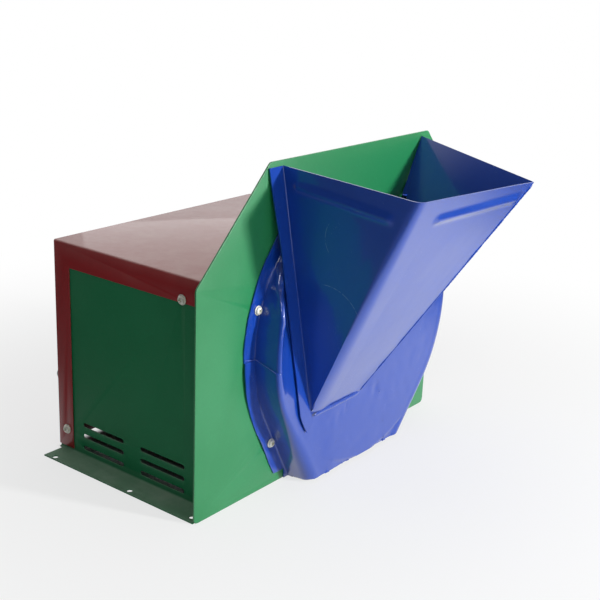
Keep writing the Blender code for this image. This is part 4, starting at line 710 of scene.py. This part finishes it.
def trim_flange(shape):
    """Cut the flange off square at its foot, left and right of the chute."""
    def faces_near_plate(reach):
        return [face for face in shape.faces if face.calc_center_median().y > PLATE_FACE - SEAT - reach]

    def is_beside_chute(face):
        return not FOOT_LEFT < face.calc_center_median().x - AXIS_X < FOOT_RIGHT

    for side in (FOOT_LEFT, FOOT_RIGHT):
        low = [face for face in faces_near_plate(0.0030)
               if face.calc_center_median().z < FLANGE_FOOT + 0.010]
        cut(shape, (AXIS_X + side, 0.0, 0.0), (1.0, 0.0, 0.0), low)
    flange = [face for face in faces_near_plate(0.0010) if is_beside_chute(face)]
    cut(shape, (0.0, 0.0, FLANGE_FOOT), (0.0, 0.0, -1.0), flange)
    doomed = [face for face in faces_near_plate(0.0010) if is_beside_chute(face)
              and face.calc_center_median().z < FLANGE_FOOT]
    bmesh.ops.delete(shape, geom=doomed, context="FACES")


def cut_for_hopper(shape):
    """Open the pan where the hopper's walls come down into it."""
    planes = []
    for corners in ((RIM_A, RIM_B, FOOT_B), (RIM_B, RIM_C, FOOT_B), (RIM_C, RIM_D, FOOT_C),
                    (FOOT_A, FOOT_C, FOOT_A + Vector((0.0, 0.03, 0.0)))):
        out = outward(*corners)
        planes.append((corners[0] + out * HOPPER_ROOM, out))
    for spot, out in planes:
        cut(shape, spot, out)
    inside = [face for face in shape.faces
              if all((face.calc_center_median() - spot).dot(out) < 0 for spot, out in planes)]
    bmesh.ops.delete(shape, geom=inside, context="FACES")
    small = [face for face in shape.faces if face.calc_area() < 1e-12]
    bmesh.ops.delete(shape, geom=small, context="FACES")


def make_pan():
    """Pressed and beaten pan: flange, wall, rounded edge, face and chute."""
    outline = pan_outline()
    # the face's rings lie close together near its edge
    rings = [1 - 0.0125 * i for i in range(1, 25)] + [0.70 - 0.033 * i for i in range(1, 20)]
    rows = [[point_at(share, *spot) for spot in outline] for point_at, shares in (
        (flange_point, [1 - i / 11 for i in range(12)]), (wall_point, [i / 14 for i in range(1, 15)]),
        (face_point, rings)) for share in shares]
    shape = bmesh.new()
    last = rows_to_faces(shape, rows, closed=True)[-1]
    middle = shape.verts.new(from_axis(0.0, 0.0, PAN_DEPTH))
    for i, vert in enumerate(last):
        shape.faces.new((vert, last[(i + 1) % len(last)], middle))
    trim_lip(shape)
    trim_flange(shape)
    cut_for_hopper(shape)
    bmesh.ops.remove_doubles(shape, verts=shape.verts, dist=4e-5)
    bmesh.ops.dissolve_degenerate(shape, dist=1e-5, edges=shape.edges)
    loose = [vert for vert in shape.verts if not vert.link_faces]
    bmesh.ops.delete(shape, geom=loose, context="VERTS")
    shape.normal_update()
    if sum(face.normal.y * face.calc_area() for face in shape.faces) > 0:
        bmesh.ops.reverse_faces(shape, faces=shape.faces)
    made = walled("chamber_pan_sheet", shape)
    for vert in made.data.vertices:
        vert.co.z = max(vert.co.z, BENCH_ROOM)
    dress(made, BLUE, "frame", "blue_paint", "chamber_pan")


# ---------------------------------------------------------------- hopper
def bead(along, start, end, across, half_width, height):
    """Height of a pressed bead with round ends at a place along and across it."""
    beyond = max(0.0, start - along, along - end)
    away = math.hypot(across, beyond) / half_width
    return height * (0.5 + 0.5 * math.cos(math.pi * away)) if away < 1 else 0.0


def left_bead(point):
    """The bead under the left wall's rim, which drops towards the front."""
    along = RIM_A.y - point.y
    below = RIM_A.z - (RIM_A.z - RIM_B.z) * clamp(along / 0.165) - point.z
    return bead(along, 0.019, 0.128, below - (0.0175 + 0.006 * clamp(along / 0.13)), 0.0072, 0.0034)


def front_bead(point):
    """The bead under the front wall's rim, which rises towards the right."""
    along = point.x - RIM_B.x
    below = RIM_B.z - (RIM_B.z - RIM_C.z) * clamp(along / 0.2258) - point.z
    centre = 0.0235 - 0.006 * clamp((along - 0.05) / 0.15)
    return bead(along, 0.051, 0.204, below - centre, 0.0070, 0.0028)


def wall_points(start, end, steps, out, pressed, seed):
    """A wall's row of points, with its pressed bead and a slight hollow between the folds."""
    row = []
    for i in range(steps + 1):
        share = i / steps
        point = start.lerp(end, share)
        calm = min(1.0, 6 * share, 6 * (1 - share))
        rise = pressed(point) - 0.0009 * lumps(point, 0.060, seed) * calm
        row.append(point + out * rise)
    return row


def make_hopper_sheet():
    """Weld strip, left wall and front wall, folded from one sheet, with two pressed beads."""
    down, strip_steps, root_steps, left_steps, fold_steps, front_steps = 90, 7, 4, 46, 10, 60
    rim_left = RIM_B + (RIM_A - RIM_B).normalized() * FOLD_AT_RIM
    rim_front = RIM_B + (RIM_C - RIM_B).normalized() * FOLD_AT_RIM
    foot_front = FOOT_B + (FOOT_C - FOOT_B).normalized() * FOLD_AT_FOOT
    left_out, front_out = outward(RIM_A, RIM_B, FOOT_B), outward(RIM_B, RIM_C, FOOT_B)
    rows = []
    for i in range(down + 1):
        t = i / down
        t -= 0.10 * math.sin(math.tau * t) / math.tau
        fold = RIM_A.lerp(FOOT_A, t)
        left = rim_left.lerp(FOOT_A, t)
        corner = RIM_B.lerp(FOOT_B, t)
        front = rim_front.lerp(foot_front, t)
        width = STRIP_TOP + (STRIP_FOOT - STRIP_TOP) * min(1.0, 3 * t)
        row = []
        for k in range(strip_steps + 1):
            share = k / strip_steps
            point = fold - Vector((width - (width - STRIP_ROOT) * share, 0.0, 0.0))
            point.y -= 0.0007 * max(0.0, wave(point, 0.030, 6.0)) * (1 - share)
            row.append(point)
        for k in range(1, root_steps):
            turn = math.pi / 2 * k / root_steps
            row.append(fold - Vector((1 - math.sin(turn), 1 - math.cos(turn), 0.0)) * STRIP_ROOT)
        start = fold + (left - fold).normalized() * min(STRIP_ROOT, 0.5 * (left - fold).length)
        row += wall_points(start, left, left_steps, left_out, left_bead, 9.0)
        for k in range(1, fold_steps):
            s = k / fold_steps
            row.append(left * (1 - s) ** 2 + corner * 2 * s * (1 - s) + front * s ** 2)
        row += wall_points(front, RIM_C.lerp(FOOT_C, t), front_steps, front_out, front_bead, 10.0)
        rows.append(row)
    shape = bmesh.new()
    foot = rows_to_faces(shape, rows)[-1]
    tip = [shape.verts.new(FOOT_A + Vector(step)) for step in
           ((0.0055, 0.0, -0.014), (-0.0045, 0.0, -0.023), (-0.0125, 0.0, -0.010))]
    shape.faces.new((*foot[:strip_steps + root_steps], *tip))
    bmesh.ops.remove_doubles(shape, verts=shape.verts, dist=2e-5)
    bmesh.ops.dissolve_degenerate(shape, dist=1e-6, edges=shape.edges)
    bmesh.ops.recalc_face_normals(shape, faces=shape.faces)
    outer = max(shape.faces, key=lambda face: face.calc_area() * abs(face.normal.y))
    if outer.normal.y > 0:
        bmesh.ops.reverse_faces(shape, faces=shape.faces)
    dress(walled("hopper_sheet", shape), BLUE, "frame", "blue_paint", "hopper_body")


def make_seam(name, points, radius, seed, flatten=0.9, material=BLUE):
    """A hand-laid weld bead along a line, lumpy and uneven, under the paint."""
    path = []
    for first, second in zip(points, points[1:]):
        steps = max(2, int((second - first).length / 0.0011))
        path += [first.lerp(second, i / steps) for i in range(steps)]
    path.append(points[-1])
    sides = 8
    rows = []
    for i, spot in enumerate(path):
        ahead = (path[min(i + 1, len(path) - 1)] - path[max(i - 1, 0)]).normalized()
        side = ahead.cross(Vector((0.0, 0.0, 1.0)))
        if side.length < 0.2:
            side = ahead.cross(Vector((0.0, 1.0, 0.0)))
        side.normalize()
        up = side.cross(ahead)
        end = min(1.0, 0.35 + 0.65 * min(i, len(path) - 1 - i) / 3)
        swell = radius * end * (1 + 0.22 * wave(spot, 0.0045, seed) + 0.10 * math.sin(i * 1.9))
        drift = 0.0006 * wave(spot, 0.012, seed + 4.0)
        rows.append([spot + side * (math.cos(math.tau * k / sides) * swell + drift)
                     + up * (math.sin(math.tau * k / sides) * swell * flatten) for k in range(sides)])
    shape = bmesh.new()
    grid = rows_to_faces(shape, rows, closed=True)
    shape.faces.new(reversed(grid[0]))
    shape.faces.new(grid[-1])
    bmesh.ops.recalc_face_normals(shape, faces=shape.faces)
    dress(add_object(name, shape), material, "frame", "blue_paint", angle=60)


def make_welds():
    """Weld beads along the hopper's foot, at the strip's tip and along its right corner."""
    foot = [FOOT_B + (FOOT_C - FOOT_B) * share + Vector((0.0, -0.0002, -0.0012))
            for share in (-0.03, 0.3, 0.6, 1.0)]
    make_seam("foot_weld", foot, 0.0011, 71.0, 2.2)
    tip = [FOOT_A + Vector(step) for step in
           ((-0.0115, 0.0012, -0.0100), (-0.0042, 0.0012, -0.0220), (0.0050, 0.0012, -0.0135))]
    make_seam("tip_weld", tip, 0.0012, 76.0)
    corner = [RIM_C.lerp(FOOT_C, share) + Vector((0.0003, 0.0004, 0.0)) for share in (0.01, 0.5, 1.0)]
    make_seam("corner_weld", corner, 0.0014, 81.0)


def make_gusset():
    """A thin gusset that closes the wedge between right wall and plate, and its weld."""
    back = FOOT_C - RIM_D
    normal = back.cross(RIM_C - RIM_D).normalized()
    ground = PLATE_FACE - 2 * SHEET

    def over_pan(spot):
        return math.hypot(spot.x - AXIS_X, spot.z - AXIS_Z) < PAN_RADIUS + 0.0008

    def along_wall(share):
        return RIM_D + back * share

    def on_plate(drop):
        z = RIM_D.z - drop
        x = RIM_D.x - (normal.y * (ground - RIM_D.y) + normal.z * (z - RIM_D.z)) / normal.x
        return Vector((x, ground, z))

    share = next(i / 400 for i in range(400) if over_pan(along_wall(i / 400)))
    drop = next(i / 2000 for i in range(400) if over_pan(on_plate(i / 2000)))
    shape = bmesh.new()
    shape.faces.new([shape.verts.new(corner) for corner in (RIM_D, along_wall(share), on_plate(drop))])
    dress(walled("right_wall_gusset", shape), BLUE, "frame", "blue_paint")
    make_seam("plate_weld", [RIM_D + Vector((0.0, 0.0, -0.002)), on_plate(drop)], 0.0013, 91.0)


def make_lap_edge():
    """The cut edge of the sheet that laps over the pan's flange and wall at the left, in a lighter blue that
    paints its highlight.
    """
    def around(radius, height, depth):
        return from_axis(-math.sqrt(radius ** 2 - height ** 2), height, depth)

    points = [around(PAN_RADIUS + out, LAP_TOP + 0.0002 + 0.2 * (out - 0.002), SEAT + 0.0014)
              for out in (PAN_FLANGE - 0.0008, 0.010, 0.0025)]
    near, deep = 0.0034, pan_depth(AXIS_X - PAN_RADIUS, AXIS_Z) - CRISP_EDGE
    for i in range(7):
        depth = near + (deep - near) * i / 6
        points.append(around(PAN_RADIUS + 0.0012, lap_line(depth) + 0.0002, depth))
    make_seam("lap_edge", points, 0.00042, 97.0, 1.0, LAP_HIGHLIGHT_BLUE)


# ---------------------------------------------------------------- screws
def make_screw_tree():
    """Round-headed cross-recess screws with washers, one on each point."""
    tree = bpy.data.node_groups.new("pan_head_screws", "GeometryNodeTree")
    sizes = {"Head Radius": 0.0040, "Head Height": 0.0030, "Washer Radius": 0.0056,
             "Washer Height": 0.0010, "Shank Radius": 0.0024, "Shank Length": 0.011,
             "Recess Length": 0.0050, "Recess Width": 0.0015, "Recess Depth": 0.0027}
    kinds = {"Geometry": "Geometry", **dict.fromkeys(sizes, "Float"), "Roll Seed": "Int",
             "Material": "Material"}
    for label, kind in kinds.items():
        socket = tree.interface.new_socket(label, in_out="INPUT", socket_type="NodeSocket" + kind)
        if label in sizes:
            socket.default_value = sizes[label]
    tree.interface.new_socket("Geometry", in_out="OUTPUT", socket_type="NodeSocketGeometry")
    entry = add(tree, "NodeGroupInput")
    given = {label: Signal(entry, label) for label in kinds}
    head_radius, head_height = given["Head Radius"], given["Head Height"]
    washer_height, shank_length = given["Washer Height"], given["Shank Length"]
    recess, width, depth = given["Recess Length"], given["Recess Width"], given["Recess Depth"]

    def vector(x, y, z):
        return output(tree, "ShaderNodeCombineXYZ", {0: x, 1: y, 2: z})

    def raised(shape, height, scale=(1.0, 1.0, 1.0)):
        return output(tree, "GeometryNodeTransform", {
            "Geometry": shape, "Translation": vector(0.0, 0.0, height), "Scale": scale})

    def cylinder(vertices, radius, length):
        return output(tree, "GeometryNodeMeshCylinder", {
            "Vertices": vertices, "Radius": radius, "Depth": length}, "Mesh")

    def ring(steps, radius):
        return output(tree, "GeometryNodeCurvePrimitiveCircle", {"Resolution": steps, "Radius": radius})

    def combined(operation, shapes, values=None):
        made = add(tree, "GeometryNodeMeshBoolean", values, operation=operation, solver="EXACT")
        for shape in shapes:
            feed(made.inputs["Mesh 2"], shape)
        return Signal(made, "Mesh")

    broad = head_radius * 1.22
    ball = output(tree, "GeometryNodeMeshUVSphere", {"Segments": 32, "Rings": 24, "Radius": 1.0}, "Mesh")
    dome = raised(ball, washer_height, vector(broad, broad, head_height))
    block = raised(cylinder(32, head_radius, head_height), washer_height + head_height * 0.499)
    top = washer_height + head_height
    arms = []
    for long, wide in ((recess, width), (width, recess)):
        arm = output(tree, "GeometryNodeMeshCube", {"Size": vector(long, wide, depth * 2.0)}, "Mesh")
        arms.append(raised(arm, top))
    point = output(tree, "GeometryNodeMeshCone", {
        "Vertices": 16, "Radius Top": width * 1.5, "Radius Bottom": 0.0002, "Depth": depth}, "Mesh")
    arms.append(raised(point, top - depth * 0.9))
    head = combined("DIFFERENCE", arms, {"Mesh 1": combined("INTERSECT", (dome, block))})

    rim = washer_height * 0.5
    inner = given["Washer Radius"] - rim
    edge = output(tree, "GeometryNodeCurveToMesh", {"Curve": ring(40, inner), "Profile Curve": ring(10, rim)})
    shank = raised(cylinder(20, given["Shank Radius"], shank_length), shank_length * -0.5)
    screw = add(tree, "GeometryNodeJoinGeometry")
    for shape in (shank, raised(cylinder(40, inner, washer_height), rim), raised(edge, rim), head):
        feed(screw.inputs[0], shape)

    facing = output(tree, "GeometryNodeInputNamedAttribute", {"Name": "facing"}, data_type="FLOAT_VECTOR")
    aimed = output(tree, "FunctionNodeAlignRotationToVector", {"Vector": facing}, axis="Z")
    roll = output(tree, "FunctionNodeRandomValue", {2: 0.0, 3: math.tau, "Seed": given["Roll Seed"]}, 1,
                  data_type="FLOAT")
    spun = output(tree, "FunctionNodeAxisAngleToRotation", {"Axis": (0.0, 0.0, 1.0), "Angle": roll})
    turned = output(tree, "FunctionNodeRotateRotation", {0: aimed, 1: spun}, rotation_space="LOCAL")
    placed = output(tree, "GeometryNodeInstanceOnPoints", {
        "Points": given["Geometry"], "Instance": Signal(screw), "Rotation": turned})
    real = output(tree, "GeometryNodeRealizeInstances", {"Geometry": placed})
    finished = output(tree, "GeometryNodeSetMaterial", {"Geometry": real, "Material": given["Material"]})
    feed(add(tree, "NodeGroupOutput").inputs[0], finished)
    return tree


def make_screws(name, tree, nodes, seed, **sizes):
    """Screws in the places of the frame's own, each facing out of its sheet."""
    shape = bmesh.new()
    layer = shape.verts.layers.float_vector.new("facing")
    for node in nodes:
        low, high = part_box(node)
        spot, facing = (low + high) / 2, Vector((0.0, -1.0, 0.0))
        if "cover" not in node:
            spot.y = low.y + SCREW_STAND
        elif "left" in node:
            spot.x, facing = low.x + SCREW_STAND, Vector((-1.0, 0.0, 0.0))
        else:
            spot.x, facing = high.x - SCREW_STAND, Vector((1.0, 0.0, 0.0))
        shape.verts.new(spot)[layer] = facing
    made = add_object(name, shape)
    screws = made.modifiers.new("screws", "NODES")
    screws.node_group = tree
    sockets = {item.name: item.identifier for item in tree.interface.items_tree if item.in_out == "INPUT"}
    for key, value in {"Material": ZINC, "Roll_Seed": seed, **sizes}.items():
        screws[sockets[key.replace("_", " ")]] = value
    settle(made)
    shape = bmesh.new()
    shape.from_mesh(made.data)
    bmesh.ops.remove_doubles(shape, verts=shape.verts, dist=1e-7)
    shape.to_mesh(made.data)
    shape.free()
    dress(made, ZINC, "frame", "zinc", *nodes, angle=35)


# ---------------------------------------------------------------- the pieces
SCREWS = make_screw_tree()
make_pan()
make_hopper_sheet()
make_welds()
make_gusset()
make_lap_edge()
make_screws("chamber_screws", SCREWS, ["chamber_screw_" + spot for spot in SCREW_PLACES], 3,
            Washer_Radius=0.0052)
make_screws("cover_screws", SCREWS, [f"cover_screw_{side}_{level}" for side in ("left", "right")
                                     for level in ("upper", "lower")], 8)
make_screws("chute_screw", SCREWS, ["chute_bolt"], 5)

for node, material, slot, radius in (
        ("front_plate", GREEN, "green_paint", 0.0005),
        ("side_panel_left", PANEL_GREEN, "green_paint", 0.0004),
        ("side_panel_right", PANEL_GREEN, "green_paint", 0.0004),
        ("cover", RED, "red_paint", 0.0003),
        ("hopper_right_wall", BLUE, "blue_paint", 0.0003)):
    dress(eased_copy(node, radius), material, "frame", slot, node)

# the frame's pieces whose shape stays as it is
PLAIN = {
    ZINC: [*("chamber_nut_" + spot for spot in SCREW_PLACES), *(f"motor_bolt_{i}" for i in range(1, 5)),
           "chute_bolt_nut", "capacitor_strap", "disc_nut", "disc_washer", "fan_cowl"],
    STEEL: ["shaft", "bearing_front", "bearing_rear", "disc_hub"],
    DISC_STEEL: ["cutting_disc"],
    BLADE_STEEL: [f"blade_{i}" for i in range(1, 5)],
    LAMINATIONS: ["rotor_core", "stator_core"],
    ALUMINIUM: ["motor_front_shield", "motor_housing", "motor_rear_shield"],
    CAN: ["run_capacitor"],
    COPPER: ["stator_winding_front", "stator_winding_rear"],
    PLASTIC: ["cooling_fan", "terminal_box", "terminal_box_lid", "switch_body", "cable_gland",
              "gland_locknut"],
    ROCKER_PLASTIC: ["switch_rocker"],
    RUBBER: ["shaft_seal"],
    SHEATH: ["lead_inlet_to_switch", "lead_switch_to_motor"],
}
for material, nodes in PLAIN.items():
    for node in nodes:
        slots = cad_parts[node].data.materials
        for i in range(len(slots)):
            slots[i] = material


# ---------------------------------------------------------------- camera, lights and floor
camera = bpy.data.objects.new("camera", bpy.data.cameras.new("camera"))
camera.location = (-0.94294, -0.73167, 0.57070)
camera.rotation_euler = [math.radians(angle) for angle in (71.79, -2.198, -51.756)]
camera.data.lens = 66.54
camera.data.sensor_width = 36.0
bpy.context.scene.collection.objects.link(camera)
bpy.context.scene.camera = camera

LIT_POINT = Vector((0.0, 0.0, 0.15))
# place, side in metres and power in watts of each softbox
SOFTBOXES = {
    "key_light": ((0.430, -1.76, 0.72), 0.15, 34.0),
    "top_light": ((0.10, 0.10, 1.90), 1.2, 8.0),
    "left_light": ((-1.25, -1.00, 1.65), 0.35, 3.5),
    "front_light": ((-0.42, -2.00, 0.50), 1.1, 7.0),
    "back_light": ((1.35, 1.10, 1.15), 1.5, 4.0),
}
for name, (spot, side, power) in SOFTBOXES.items():
    lamp = bpy.data.lights.new(name, "AREA")
    lamp.size = side
    lamp.energy = power
    light = bpy.data.objects.new(name, lamp)
    light.location = spot
    light.rotation_euler = (LIT_POINT - Vector(spot)).to_track_quat("-Z", "Y").to_euler()
    bpy.context.scene.collection.objects.link(light)

WHITE = (1.0, 1.0, 1.0, 1.0)


def ray_kinds(tree):
    """Whether a ray comes from the camera, from a glossy face or through a clear one."""
    rays = add(tree, "ShaderNodeLightPath")
    return [Signal(rays, f"Is {kind} Ray") for kind in ("Camera", "Glossy", "Transmission")]


def make_floor():
    """A plain pale floor that keeps the shadow and looks white."""
    shape = bmesh.new()
    bmesh.ops.create_grid(shape, x_segments=1, y_segments=1, size=6.0)
    made = add_object("floor", shape)
    material, tree, shader, at = new_material("pale_floor", (0.82, 0.82, 0.82), 0.9, specular=0.0)
    camera_ray, glossy_ray, clear_ray = ray_kinds(tree)
    seen = larger(camera_ray, larger(glossy_ray, clear_ray))
    away = output(tree, "ShaderNodeVectorMath", {0: at}, "Value", operation="LENGTH")
    share = ranged(away, 0.25, 0.9, 0.70, 1.0, "SMOOTHSTEP")
    parts = add(tree, "ShaderNodeSeparateXYZ", {0: at})
    x, y = Signal(parts, "X"), Signal(parts, "Y")
    # gloss sees the white floor only near the object and to its right
    unseen = larger(step_up(away, 0.45, 0.80), step_up(x * -1.0, 0.16, 0.30))
    lit = 1.0 - glossy_ray * (unseen * 0.92)
    # under the box the floor keeps its own shade, so that the slots look into the dark
    centre, half = (COVER_LOW + COVER_HIGH) / 2, (COVER_HIGH - COVER_LOW) / 2
    past_box = larger(abs(x - centre.x) - half.x, abs(y - centre.y) - half.y)
    open_floor = step_up(past_box, -0.010, 0.004)
    glow = Signal(add(tree, "ShaderNodeEmission", {"Color": WHITE, "Strength": lit}))
    mix = output(tree, "ShaderNodeMixShader", {0: seen * (share * open_floor), 1: Signal(shader), 2: glow})
    feed(tree.nodes["Material Output"].inputs["Surface"], mix)
    made.data.materials.append(material)


def make_world():
    """A white backdrop for the camera, and a soft fill and a bright side for the object."""
    world = bpy.data.worlds.new("studio")
    world.use_nodes = True
    tree = world.node_tree
    camera_ray, glossy_ray, clear_ray = ray_kinds(tree)
    at = output(tree, "ShaderNodeTexCoord", key="Generated")
    toward = output(tree, "ShaderNodeVectorMath", {0: at, 1: (0.72, 0.62, 0.30)}, "Value",
                    operation="DOT_PRODUCT")
    mirrored = step_up(toward, 0.20, 0.60) * 0.88 + 0.02

    def glow(colour, strength):
        return output(tree, "ShaderNodeBackground", {"Color": colour, "Strength": strength})

    fill, shown, white = glow((0.9, 0.95, 1.0, 1.0), 0.12), glow(WHITE, mirrored), glow(WHITE, 1.0)
    lighting = output(tree, "ShaderNodeMixShader", {0: glossy_ray, 1: fill, 2: shown})
    mix = output(tree, "ShaderNodeMixShader", {0: larger(camera_ray, clear_ray), 1: lighting, 2: white})
    feed(tree.nodes["World Output"].inputs["Surface"], mix)
    bpy.context.scene.world = world


make_floor()
make_world()
bpy.context.scene.view_settings.view_transform = "Standard"
